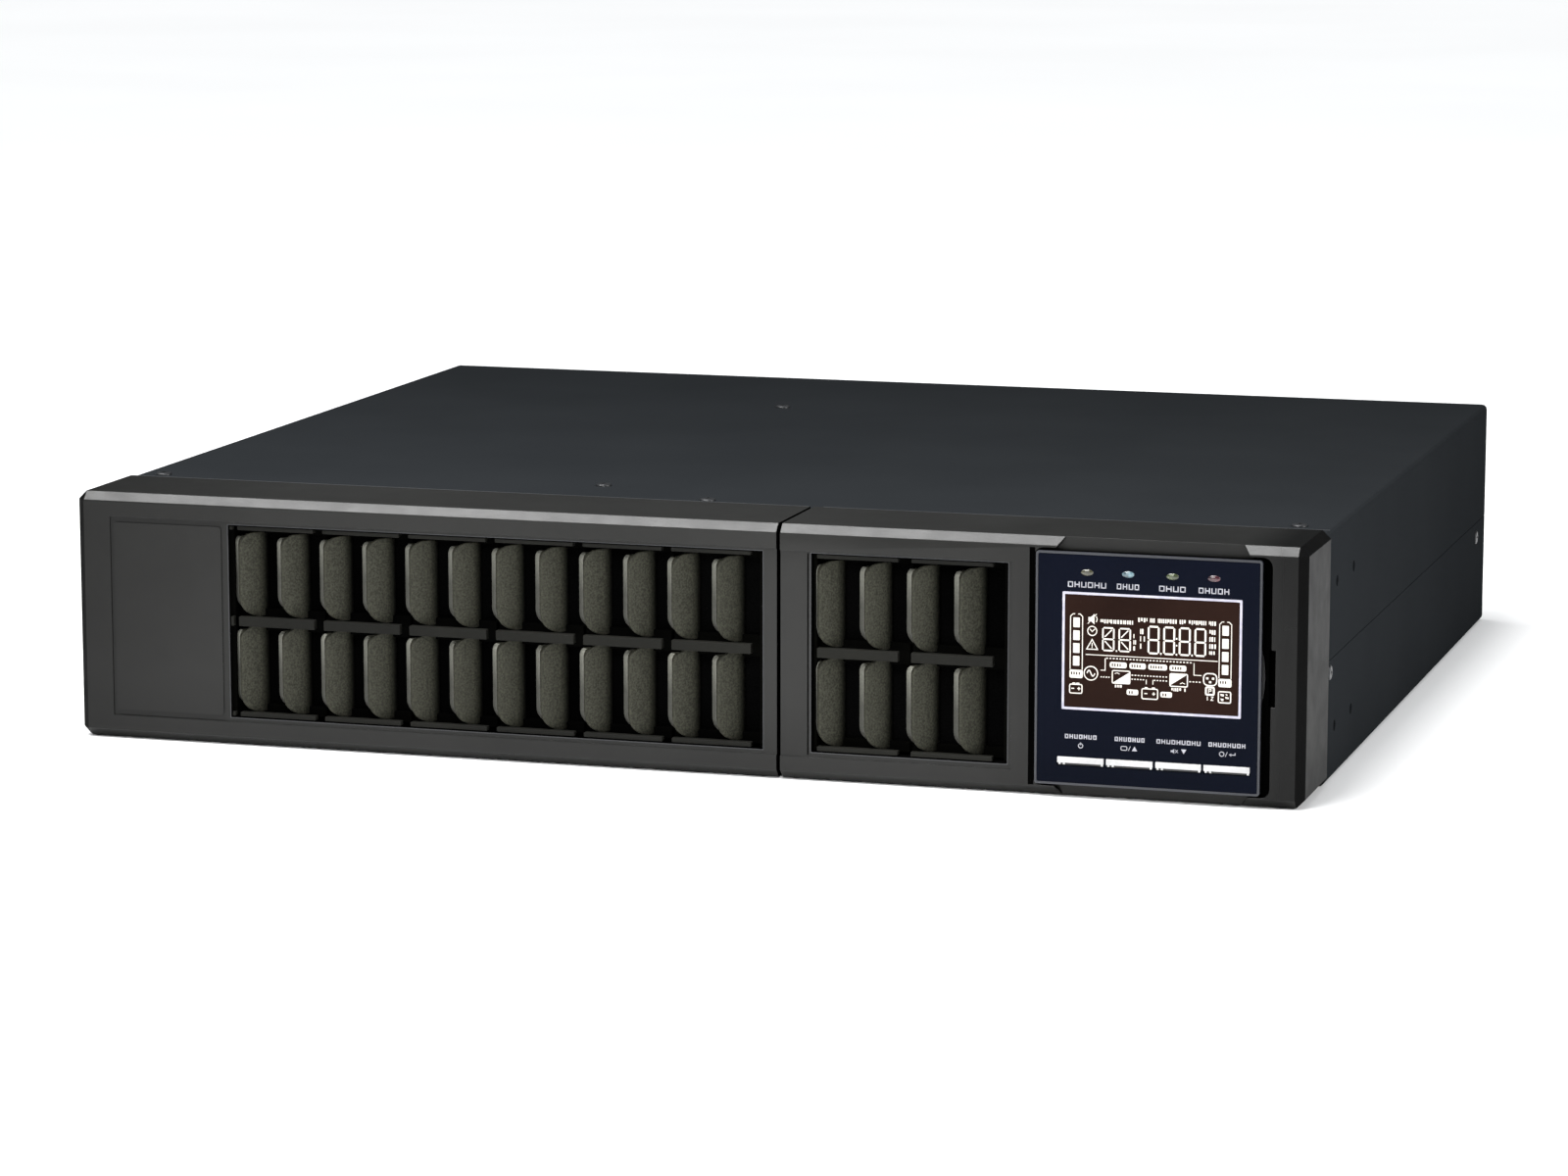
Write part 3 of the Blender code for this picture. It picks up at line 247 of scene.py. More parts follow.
def add_node(tree, kind, inputs, **settings):
    """Adds a shader node whose inputs are numbers or sockets, and returns its outputs."""
    made = tree.nodes.new("ShaderNode" + kind)
    for name, value in settings.items():
        setattr(made, name, value)
    for name, value in inputs.items():
        if isinstance(value, bpy.types.NodeSocket):
            tree.links.new(value, made.inputs[name])
        else:
            made.inputs[name].default_value = value
    return made.outputs


class Look:
    """Builds one procedural material on the object's own coordinates."""

    def __init__(self, name, **values):
        """Starts a material; values are named as in SHADER_INPUTS."""
        self.material = bpy.data.materials.new(name)
        self.material.use_nodes = True
        self.tree = self.material.node_tree
        self.shader = self.tree.nodes["Principled BSDF"].inputs
        for key, value in values.items():
            self.shader[SHADER_INPUTS[key]].default_value = value
        self.where = self.add("TexCoord", {})["Object"]

    def add(self, kind, inputs, **settings):
        """Adds a node to the material."""
        return add_node(self.tree, kind, inputs, **settings)

    def feed(self, name, socket):
        """Links a socket to an input of the shader."""
        self.tree.links.new(socket, self.shader[name])
        return self

    def noise(self, scale, detail, stretch=None):
        """A noise field; stretch scales X, Y and Z first."""
        where = self.where
        if stretch:
            where = self.add("Mapping", {"Vector": where, "Scale": stretch})["Vector"]
        return self.add("TexNoise", {"Vector": where, "Scale": scale, "Detail": detail})["Fac"]

    def spread(self, field, low, high, first, second):
        """A value from first to second as the field goes from low to high."""
        return self.add("MapRange", {"Value": field, "From Min": low, "From Max": high,
                                     "To Min": first, "To Max": second})["Result"]

    def sum(self, operation, field, amount):
        """One step of arithmetic on a field."""
        return self.add("Math", {0: field, 1: amount}, operation=operation)["Value"]

    def place(self, axis):
        """The distance along an axis, in millimetres."""
        return self.sum("DIVIDE", self.add("SeparateXYZ", {"Vector": self.where})[axis], MM)

    def cover(self, socket):
        """Takes the base colour from a socket."""
        self.base = socket
        return self.feed("Base Color", socket)

    def paint(self, field, first, second):
        """The base colour, from one colour to another across the middle of a noise."""
        ramp = self.tree.nodes.new("ShaderNodeValToRGB")
        for stop, position, tint in zip(ramp.color_ramp.elements, (0.35, 0.65), (first, second)):
            stop.position = position
            stop.color = tint
        self.tree.links.new(field, ramp.inputs["Fac"])
        return self.cover(ramp.outputs["Color"])

    def fade(self, field, low, high, first, second):
        """Multiplies the base colour, from first to second as the field goes from low to high."""
        scale = self.spread(field, low, high, first, second)
        faded = self.add("VectorMath", {0: self.base, "Scale": scale}, operation="SCALE")
        return self.cover(faded["Vector"])

    def gloss(self, field, low, high):
        """The roughness, from low to high across the middle of a noise."""
        return self.feed("Roughness", self.spread(field, 0.3, 0.7, low, high))

    def relief(self, field, depth):
        """A bump of a given depth in millimetres."""
        bump = self.add("Bump", {"Strength": 1.0, "Distance": depth * MM, "Height": field})
        return self.feed("Normal", bump["Normal"])


def surface(name, paint, gloss=None, relief=None, fades=(), stretch=None, **values):
    """A look with up to three noises, each given by its scale and detail: paint goes on with two
    colours, gloss with two roughnesses and relief with a depth. A fade is an axis and its range."""
    look = Look(name, **values)
    look.paint(look.noise(*paint[:2]), colour(*paint[2]), colour(*paint[3]))
    for axis, *span in fades:
        look.fade(look.place(axis), *span)
    if gloss:
        look.gloss(look.noise(*gloss[:2], stretch), *gloss[2:])
    if relief:
        look.relief(look.noise(*relief[:2], stretch), relief[2])
    return look


def grained(name, dark, light, rough, scale, depth, specular=0.5, fades=(), metallic=0.0):
    """Moulded plastic or powder coat: clouded colour, varied gloss and a fine grain."""
    return surface(name, (14.0, 6.0, dark, light), (126.0, 5.0, *rough), (scale, 2.0, depth), fades,
                   specular=specular, metallic=metallic).material


def brushed(name, dark, light, rough, stretch=(1.0, 40.0, 1.0)):
    """Plated or brushed metal with fine streaks along two axes."""
    return surface(name, (20.0, 6.0, dark, light), (160.0, 4.0, *rough), (700.0, 2.0, 0.008),
                   stretch=stretch, metallic=1.0).material


def louvre_look(name, dark, light, specular):
    """Coarse olive-grey moulding, with painted shade that darkens it towards the back of the grille."""
    return surface(name, (1500.0, 3.0, dark, light), (300.0, 4.0, 0.5, 0.65), (1800.0, 2.0, 0.05),
                   [("Y", FRONT + 6.0, FRONT + 9.8, 1.0, 0.03)], specular=specular)


def louvre_edge_look():
    """The leading edges: a paler copy of the louvre plastic, a painted highlight that is brightest
    towards the top of each row.
    """
    look = louvre_look("louvre_edge_painted_highlight", (112, 112, 104), (132, 132, 122), 0.4)
    height = look.sum("SUBTRACT", look.place("Z"), ROW_FOOT)
    row = look.sum("FRACT", look.sum("DIVIDE", height, ROW_PITCH), 0.0)
    return look.fade(row, 0.45, 0.88, 0.26, 0.9).material


def print_look(name, dark, light, glow):
    """Printed or lit marks: slightly uneven ink with a little light of its own."""
    return surface(name, (420.0, 3.0, dark, light), None, (2500.0, 1.0, 0.003), roughness=0.45,
                   glow=glow, glow_colour=colour(*light)).material


def light_look(name, dark, light, glow):
    """A clear coloured dome with a bright core."""
    return surface(name, (500.0, 3.0, dark, light), roughness=0.12, coat=0.6, clear=0.25,
                   glow=glow, glow_colour=colour(*light)).material


def board_look():
    """Solder mask with copper runs under it."""
    look = Look("circuit_board", roughness=0.35)
    brick = look.add("TexBrick", {
        "Vector": look.where, "Scale": 120.0, "Mortar Size": 0.03, "Color1": colour(18, 84, 44),
        "Color2": colour(24, 98, 52), "Mortar": colour(44, 130, 72)})
    look.cover(brick["Color"]).gloss(look.noise(80.0, 4.0), 0.25, 0.4)
    return look.relief(brick["Fac"], 0.03).material


def copper_look():
    """Enamelled copper wire wound closely round a ring."""
    look = surface("copper_winding", (60.0, 4.0, (140, 70, 32), (196, 112, 58)),
                   (300.0, 3.0, 0.2, 0.34), metallic=0.9)
    wave = look.add("TexWave", {"Vector": look.where, "Scale": 260.0}, bands_direction="X")
    return look.relief(wave["Fac"], 0.4).material


STEEL = grained("powder_coat", (33, 36, 39), (35, 38, 41), (0.46, 0.52), 1900.0, 0.03, 0.0)
PANEL_STEEL = grained("rear_powder_coat", (44, 46, 48), (48, 50, 52), (0.44, 0.5), 1900.0, 0.03, 0.1)
# The cover's powder coat, with painted shade that darkens it towards the rear.
COVER = grained("cover_powder_coat", (34, 36, 38), (36, 38, 40), (0.46, 0.52), 1900.0, 0.03, 0.0,
                [("Y", FRONT + 60.0, REAR, 1.0, 0.7)])
# Satin plastic, with painted shade that makes it a little darker at both ends of the front and towards
# the bottom.
BEZEL = grained("bezel_plastic", (36, 36, 35), (41, 41, 40), (0.2, 0.26), 2400.0, 0.012, 0.14,
                [("X", 196.0, 212.0, 1.0, 0.25), ("X", DOOR_LOW.x, DOOR_LOW.x + 70.0, 0.55, 1.0),
                 ("X", 110.0, 124.0, 1.0, 0.85), ("Z", 2.0, 26.0, 0.8, 1.0)])
# A rougher, less glossy copy of the bezel plastic that paints the shade on the bezels' sides.
BEZEL_SIDE_SHADE = grained("bezel_side_painted_shade", (44, 44, 44), (50, 50, 49), (0.5, 0.6), 2400.0, 0.02, 0.03)
# Near-black plastic for the side chamfers: painted shade.
BEZEL_SHADED_EDGE = grained("bezel_edge_painted_shade", (10, 10, 10), (14, 14, 14), (0.6, 0.7), 2400.0, 0.01, 0.02)
# Painted shadow for the hollows, the pocket and the grille windows' walls.
SHADOW = grained("bezel_painted_shadow", (2, 2, 2), (4, 4, 4), (0.9, 1.0), 2400.0, 0.01, 0.0)
# Painted highlight: pale lines along the bezels' rear edge and round their grille windows.
PAINTED_EDGE_HIGHLIGHT = grained("bezel_painted_edge_highlight", (58, 59, 61), (66, 67, 69), (0.4, 0.5), 2400.0, 0.01, 0.2)
LOUVRE = louvre_look("louvre_plastic", (40, 40, 34), (62, 62, 53), 0.12).material
LOUVRE_HIGHLIGHT = louvre_edge_look()
BAR = grained("louvre_bar", (22, 22, 20), (28, 28, 25), (0.5, 0.62), 2000.0, 0.02, 0.08)
# Near-black plastic for the rails, walls and posts behind the blades, darkened to paint the shade inside
# the grille.
RAIL = grained("louvre_rail_painted_shade", (4, 4, 4), (7, 7, 6), (0.8, 0.9), 2000.0, 0.02, 0.0)
FOAM = grained("filter_foam", (2, 2, 2), (7, 7, 7), (0.9, 1.0), 900.0, 0.6, 0.0)
BLACK = grained("black_plastic", (24, 24, 25), (34, 34, 35), (0.35, 0.5), 1800.0, 0.02)
HEAD = grained("display_rim", (36, 38, 44), (44, 46, 52), (0.3, 0.42), 2200.0, 0.012)
GREY = grained("connector_grey", (84, 84, 86), (94, 94, 96), (0.4, 0.5), 1800.0, 0.02)
GREEN = grained("terminal_green", (20, 84, 46), (28, 98, 55), (0.35, 0.45), 1500.0, 0.02)
RED = grained("breaker_red", (120, 16, 13), (138, 22, 18), (0.25, 0.35), 1200.0, 0.012)
BATTERY = grained("battery_case", (48, 50, 53), (52, 54, 57), (0.4, 0.55), 1600.0, 0.03)
CORE = grained("core_varnish", (70, 56, 44), (96, 80, 62), (0.35, 0.55), 700.0, 0.06)
SLEEVE = grained("capacitor_sleeve", (22, 26, 52), (30, 35, 66), (0.18, 0.28), 900.0, 0.01)
BLACK_SCREW = grained("black_screw", (26, 27, 29), (40, 41, 43), (0.3, 0.45), 1500.0, 0.01,
                      metallic=0.3)
NICKEL = brushed("nickel_plate", (118, 119, 121), (140, 141, 142), (0.22, 0.34))
ZINC = brushed("zinc_plate", (108, 111, 114), (130, 132, 134), (0.3, 0.45))
ALLOY = brushed("extruded_alloy", (120, 122, 124), (140, 141, 143), (0.28, 0.4), (1.0, 0.05, 1.0))
BRASS = brushed("brass_plate", (138, 112, 60), (156, 130, 76), (0.22, 0.36))
# Navy tinted sheet with a hard gloss, and the dark brown panel of the screen behind it.
LENS = surface("tinted_lens", (9.0, 3.0, (4, 7, 16), (8, 12, 25)), (60.0, 4.0, 0.16, 0.24),
               (2600.0, 1.0, 0.002), specular=0.03).material
SCREEN = surface("screen_glass", (24.0, 4.0, (28, 16, 12), (35, 21, 16)), (40.0, 4.0, 0.2, 0.3),
                 (1800.0, 1.0, 0.002), specular=0.03).material
INK = print_look("panel_ink", (150, 150, 158), (176, 176, 184), 0.0)
FRAME_LINE = print_look("screen_line", (170, 168, 184), (188, 185, 200), 0.0)
SEGMENT = print_look("lit_segment", (206, 200, 192), (222, 216, 208), 0.15)
# Silver-white keys and their shaded feet.
KEY = surface("silver_key", (90.0, 4.0, (176, 176, 176), (190, 190, 190)),
              (200.0, 4.0, 0.22, 0.34), (2200.0, 2.0, 0.006), coat=0.4).material
KEY_FOOT = surface("key_foot", (90.0, 4.0, (20, 20, 22), (30, 30, 33)),
                   (200.0, 4.0, 0.4, 0.5)).material
BOARD = board_look()
COPPER = copper_look()

NODE_LOOKS = {
    STEEL: ("divider_wall", "front_plate", "tray_front"),
    COVER: ("top_cover", "chassis_base"),
    PANEL_STEEL: ("rear_panel", "card_slot_cover"),
    BEZEL: ("blank_panel",),
    FOAM: ("intake_filter",),
    BLACK: ("display_carrier", "fan_frame", "fan_rotor", "outlet_block_1", "outlet_block_2",
            "mains_inlet", "breaker", "line_jacks"),
    SCREEN: ("display_screen",),
    BOARD: ("display_board", "main_board"),
    ZINC: ("battery_tray", "battery_strap"),
    NICKEL: ("tray_handle", "fan_guard", "serial_port", "usb_port"),
    GREY: ("battery_connector", "pack_connector"),
    ALLOY: ("heatsink_left", "heatsink_right"),
    CORE: ("transformer",),
    COPPER: ("filter_choke", "output_choke"),
    SLEEVE: tuple("bus_capacitor_%d" % number for number in range(1, 5)),
    GREEN: ("stop_terminal",),
    RED: ("breaker_button",),
    BRASS: ("earth_stud",),
}


def dress_nodes():
    """Gives every CAD node that stays its material."""
    for look, names in NODE_LOOKS.items():
        for name in names:
            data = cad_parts[name].data
            data.materials.clear()
            data.materials.append(look)


# --- louvres ---

BLADE_THICK = 5.0
BLADE_PLATE = 1.4
BLADE_GROOVE = 0.5
BLADE_DRAFT = 1.4
BLADE_FACE = FRONT + 0.9
BLADE_ROWS = ((ROW_FOOT, 42.3), (45.6, 75.6))
BLADE_FLAT = 6.5
BLADE_BEND = 5.4
BLADE_RUN = BLADE_FLAT + BLADE_BEND
BLADE_START = radians(46)
BLADE_END = radians(88)
BAR_ROWS = ((10.4, 12.0), (42.6, 46.0), (76.7, 78.1))
BAR_LEAD = 1.1
BAR_LENGTH = 28.4
BAR_DEEP = 2.6
BAR_FACE = FRONT + 1.0
RAIL_ROWS = ((None, 14.0), (40.5, 48.0), (75.0, None))
RAIL_FACE = FRONT + 8.2
RAIL_BACK = FRONT + 10.4
WALL_THICK = 1.2
WINDOW_REACH = 1.5
WALL_FACE = FRONT + 2.6
POST_SHIFT = 3.2
POST_WIDE = 1.4


def blade_outline(tall, reach, rise):
    """The flat blade: round corners at its leading edge, the lower one long, square ones behind."""
    points = [(BLADE_RUN, 0.0), (BLADE_RUN, tall)]
    for reach, rise, level, quarter in ((reach, rise, tall - rise, 1), (7.6, 6.6, 6.6, 2)):
        for step in range(13):
            turn = radians(90 * quarter + 7.5 * step)
            points.append((reach + reach * cos(turn), level + rise * sin(turn)))
    return points


def blade_path(s):
    """The place and the angle of a blade's face, s mm along it."""
    flat = min(s, BLADE_FLAT)
    x = flat * cos(BLADE_START)
    y = flat * sin(BLADE_START)
    turning = (BLADE_END - BLADE_START) / BLADE_BEND
    angle = BLADE_START + turning * max(s - BLADE_FLAT, 0.0)
    x += (sin(angle) - sin(BLADE_START)) / turning
    y += (cos(BLADE_START) - cos(angle)) / turning
    return x, y, angle


def blade_mesh(tall):
    """One bent blade with its leading edge at the origin: a plate, a groove and a lower lip."""
    bm = bmesh.new()
    prism(bm, blade_outline(tall, 5.2, 5.0), 0.0, BLADE_PLATE)
    lip = [(x, z + BLADE_DRAFT) for x, z in blade_outline(tall - 2 * BLADE_DRAFT, 2.0, 2.4)]
    prism(bm, lip, BLADE_PLATE + BLADE_GROOVE, BLADE_THICK)
    bmesh.ops.recalc_face_normals(bm, faces=bm.faces)
    soften(bm, 0.3, 60.0)
    web = [(x + 0.7, z) for x, z in lip]
    web[:2] = [(BLADE_RUN, z) for x, z in web[:2]]
    prism(bm, web, BLADE_PLATE - 0.2, BLADE_PLATE + BLADE_GROOVE + 0.2)
    for index in range(7):
        bmesh.ops.bisect_plane(bm, geom=bm.verts[:] + bm.edges[:] + bm.faces[:],
                               plane_co=(BLADE_FLAT + BLADE_BEND * index / 7, 0, 0), plane_no=(1, 0, 0))
    for vert in bm.verts:
        s, deep, z = vert.co
        x, y, angle = blade_path(s)
        vert.co = (x - sin(angle) * deep, y + cos(angle) * deep, z)
    mesh = bpy.data.meshes.new("blade")
    bm.to_mesh(mesh)
    bm.free()
    return mesh


def is_edge(centre, normal, first_x, pitch):
    """Whether a blade's face is on the leading edge of its plate."""
    behind = (centre.x - first_x + 4.0) % pitch - 4.0
    return normal.x < -0.2 and normal.y < -0.1 and behind < -sin(BLADE_START) * BLADE_PLATE


def make_louvres(name, body, first_x, count, pitch, reach):
    """A grille: its blades with painted highlights on their leading edges, the short bars in front of
    them and the near-black rails behind, which paint the shade inside.
    """
    low, high = node_box(name)
    bm = bmesh.new()
    for bottom, top in BLADE_ROWS:
        blade = blade_mesh(top - bottom)
        for index in range(count):
            before = len(bm.verts)
            bm.from_mesh(blade)
            bm.verts.ensure_lookup_table()
            shift = (first_x + index * pitch, BLADE_FACE, bottom)
            bmesh.ops.translate(bm, verts=bm.verts[before:], vec=shift)
        bpy.data.meshes.remove(blade)
    blades = finish_piece(bm, name + "_blades", LOUVRE, body, (name,))
    # The leading edges get the paler copy of the plastic, a painted highlight.
    shade_faces(blades, {"edge": LOUVRE_HIGHLIGHT}, lambda centre, normal: (
        "edge" if is_edge(centre, normal, first_x, pitch) else None))
    bm = bmesh.new()
    starts = [first_x - BAR_LEAD + 2 * pitch * index for index in range(count // 2)]
    bars = [(start, min(start + BAR_LENGTH, high.x)) for start in starts]
    if reach:
        bars.append((low.x, starts[0] - 1.8))
    for bottom, top in BAR_ROWS:
        for left, right in bars:
            block(bm, (left, BAR_FACE, bottom), (right, BAR_FACE + BAR_DEEP, top))
    soften(bm, 0.25, 60.0)
    finish_piece(bm, name + "_bars", BAR, body, (name,))
    bm = bmesh.new()
    for bottom, top in RAIL_ROWS:
        block(bm, (low.x, RAIL_FACE, bottom or low.z), (high.x, RAIL_BACK, top or high.z))
    for start in starts[1:]:
        block(bm, (start - 2.4, RAIL_FACE, low.z), (start - 1.0, RAIL_BACK, high.z))
    for left, right in ((low.x - reach, low.x + WALL_THICK), (high.x - WALL_THICK, high.x + reach)):
        block(bm, (left, WALL_FACE, low.z), (right, RAIL_BACK + 1.0, high.z))
    for bottom, top in BAR_ROWS:
        middle = (bottom + top) / 2
        for index in range(count):
            post = first_x + pitch * index + POST_SHIFT
            block(bm, (post, FRONT + 3.0, middle - 0.5),
                  (post + POST_WIDE, RAIL_FACE + 0.5, middle + 0.5))
    soften(bm, 0.2, 60.0, 1)
    finish_piece(bm, name + "_rails", RAIL, body, (name,))


def make_door_filter():
    """The sheet of black foam behind the door's grille, which also paints the shade behind its blades."""
    low, high = GRILLES[0]
    bm = bmesh.new()
    block(bm, (low.x - WINDOW_REACH, RAIL_BACK + 0.6, low.z - WINDOW_REACH),
          (high.x + WINDOW_REACH, RAIL_BACK + 5.0, high.z + WINDOW_REACH))
    soften(bm, 0.4, 60.0)
    finish_piece(bm, "door_filter_shade_sheet", FOAM, "battery_door")


# --- bezels ---

LINE_FACE = FRONT + 0.7
WINDOW_FOOT, WINDOW_TOP = 9.5, 79.0
POCKET_MIDDLE = Vector(((HEAD_LOW.x + HEAD_HIGH.x) / 2, 44.0))
POCKET_REACH = Vector((43.5, 40.45))
SIDE_CHAMFER = 215.0


def bezel_shade(centre, normal):
    """Picks the painted shade: the hollows that no light reaches, the dark side chamfers and the shaded
    sides.
    """
    x, y, z = centre
    if (y > FRONT + 0.9 and abs(normal.y) < 0.5 and WINDOW_FOOT < z < WINDOW_TOP
            and any(low.x - 1.0 < x < high.x + 1.0 for low, high in GRILLES)):
        return "shadow"
    if abs(normal.x) > 0.9 and abs(x - DOOR_HIGH.x) < 1.5:
        return "shadow"
    across, up = Vector((x, z)) - POCKET_MIDDLE
    if y > FRONT + 0.2 and abs(across) < POCKET_REACH.x and abs(up) < POCKET_REACH.y:
        return "shadow"
    if abs(normal.x) > 0.4 and abs(x) > SIDE_CHAMFER:
        return "side" if abs(normal.x) > 0.95 else "dark"
    return None


def make_bezels():
    """Both front bezels with painted shade on their hollows, side chamfers and sides, painted highlight
    lines round their windows and along their rear edge, and a painted shadow line on the intake bezel.
    """
    looks = {"shadow": SHADOW, "side": BEZEL_SIDE_SHADE, "dark": BEZEL_SHADED_EDGE}
    for node, body in (("battery_door", "battery_door"), ("front_bezel", "chassis")):
        shade_faces(refined(node, body, BEZEL, 0.25), looks, bezel_shade)
    for name, body, node, grille in (("door_lines", "battery_door", "battery_door", GRILLES[0]),
                                     ("intake_lines", "chassis", "front_bezel", GRILLES[1])):
        low, high = node_box(node)
        # Painted highlight lines along the rear top edge and round the grille window.
        light = bmesh.new()
        block(light, (low.x + 3.5, high.y - 0.7, high.z - 0.05),
              (high.x - 0.5, high.y - 0.05, high.z + 0.03))
        outer, inner = (rounded((grille[0].x - reach, grille[0].z - reach + 0.05),
                                (grille[1].x + reach, grille[1].z + reach - 0.05), radius, 2)
                        for reach, radius in ((0.65, 0.3), (0.4, 0.2)))
        frame_prism(light, outer, inner, LINE_FACE - 0.04, LINE_FACE + 0.02)
        finish_piece(light, name + "_light", PAINTED_EDGE_HIGHLIGHT, body)
        if node == "front_bezel":
            # Painted shadow: a thin dark line on the face of the intake bezel.
            dark = bmesh.new()
            block(dark, (48.8, LINE_FACE - 0.03, 9.0), (49.25, LINE_FACE + 0.02, 78.4))
            finish_piece(dark, name + "_groove_shadow", SHADOW, body)


# --- display ---

INK_RISE = 0.06
INK_SINK = 0.02
ON_LENS = (LENS_LOW.y - INK_RISE, LENS_LOW.y + INK_SINK)
ON_SCREEN = (SCREEN_LOW.y - INK_RISE, SCREEN_LOW.y + INK_SINK)
SCREEN_UNITS = 59.0
UNIT = (SCREEN_HIGH.x - SCREEN_LOW.x) / SCREEN_UNITS
LINE_WEIGHT = 0.85


def spot(u, v):
    """A place on the screen: u to the right and v down from its top left corner."""
    return (SCREEN_LOW.x + u * UNIT, SCREEN_HIGH.z - v * UNIT)


def screen_box(u0, v0, u1, v1, radius, steps):
    """The outline of a round rectangle on the screen."""
    left, top = spot(u0, v0)
    right, bottom = spot(u1, v1)
    return rounded((left, bottom), (right, top), radius, steps)


def screen_block(bm, u0, v0, u1, v1, radius=0.25):
    """A filled mark on the screen."""
    radius = min(radius, (u1 - u0) / 2.1, (v1 - v0) / 2.1)
    prism(bm, screen_box(u0, v0, u1, v1, radius, 2), *ON_SCREEN)


def screen_line(bm, points, width=0.3, closed=False):
    """A drawn line on the screen."""
    stroke(bm, [spot(u, v) for u, v in points], width * LINE_WEIGHT, *ON_SCREEN, closed)


def screen_shape(bm, points):
    """A filled shape on the screen."""
    prism(bm, [spot(u, v) for u, v in points], *ON_SCREEN)


def screen_frame(bm, u0, v0, u1, v1, width=0.35, radius=0.7):
    """An outlined round rectangle on the screen."""
    stroke(bm, screen_box(u0, v0, u1, v1, radius, 3), width, *ON_SCREEN, True)


def segment(bm, u, v, length, cut, upright):
    """One bar of a digit, pointed at both ends, from its first point."""
    bar = ((0.0, 0.0), (cut, -cut), (length - cut, -cut), (length, 0.0), (length - cut, cut),
           (cut, cut))
    screen_shape(bm, [(u + q, v + p) if upright else (u + p, v + q) for p, q in bar])


def seven_segments(bm, u, v, wide, tall, weight):
    """One digit with all seven bars lit."""
    gap = 0.12
    cut = weight / 2
    for level in (cut, tall / 2, tall - cut):
        segment(bm, u + cut + gap, v + level, wide - 2 * (cut + gap), cut, False)
    for side in (u + cut, u + wide - cut):
        for top in (cut + gap, tall / 2 + gap):
            segment(bm, side, v + top, tall / 2 - cut - 2 * gap, cut, True)


def marks_row(bm, u0, u1, v0, v1, seed):
    """A row of short upright marks, which stands for small lettering."""
    chooser = random.Random(seed)
    filled = 0.62
    u = u0
    while u < u1 - 0.5:
        wide = min(chooser.choice((0.5, 0.7, 0.9)), u1 - u)
        short = (v1 - v0) * chooser.choice((0.0, 0.0, 0.25))
        screen_block(bm, u, v0, u + wide * filled, v1 - short, 0.1)
        u += wide
        if chooser.random() < 0.12:
            u += 0.7


def dark_marks(bm, u0, u1, v0, v1):
    """Short dark marks on a lit plate."""
    pitch = 0.85
    mark = 0.42
    for index in range(int((u1 - u0) / pitch)):
        left, top = spot(u0 + index * pitch, v0)
        right, bottom = spot(u0 + index * pitch + mark, v1)
        block(bm, (left, ON_SCREEN[0] - 0.03, bottom), (right, ON_SCREEN[1], top))


def draw_meter(bm, u0, u1, v0, v1, plate_v1):
    """A level meter: an open outline, four blocks and a label plate below."""
    middle = (u0 + u1) / 2
    for side, way in ((u0, 1), (u1, -1)):
        screen_line(bm, [(middle - 0.5 * way, v0), (side + 0.8 * way, v0), (side, v0 + 0.8),
                         (side, v1)], 0.32)
    step = (v1 - v0 - 1.4) / 4
    for index in range(4):
        top = v0 + 1.2 + index * step
        screen_block(bm, middle - 1.05, top, middle + 1.05, top + step - 1.05, 0.15)
    screen_block(bm, u0 - 0.2, v1 + 0.1, u1 + 0.2, plate_v1, 0.5)


def draw_battery(bm, u0, v0, u1, v1):
    """A battery's outline with its two posts, a minus and a plus."""
    screen_frame(bm, u0, v0 + 0.4, u1, v1, 0.35, 0.5)
    for side in (u0 + 0.9, u1 - 1.9):
        screen_block(bm, side, v0 - 0.15, side + 1.0, v0 + 0.25, 0.1)
    middle = (v0 + v1) / 2 + 0.1
    minus = u0 + (u1 - u0) / 4
    plus = u1 - (u1 - u0) / 4
    for u, reach, top, bottom in ((minus, 0.5, -0.12, 0.18), (plus, 0.5, -0.12, 0.18),
                                  (plus, 0.15, -0.5, -0.16), (plus, 0.15, 0.22, 0.55)):
        screen_block(bm, u - reach, middle + top, u + reach, middle + bottom, 0.05)


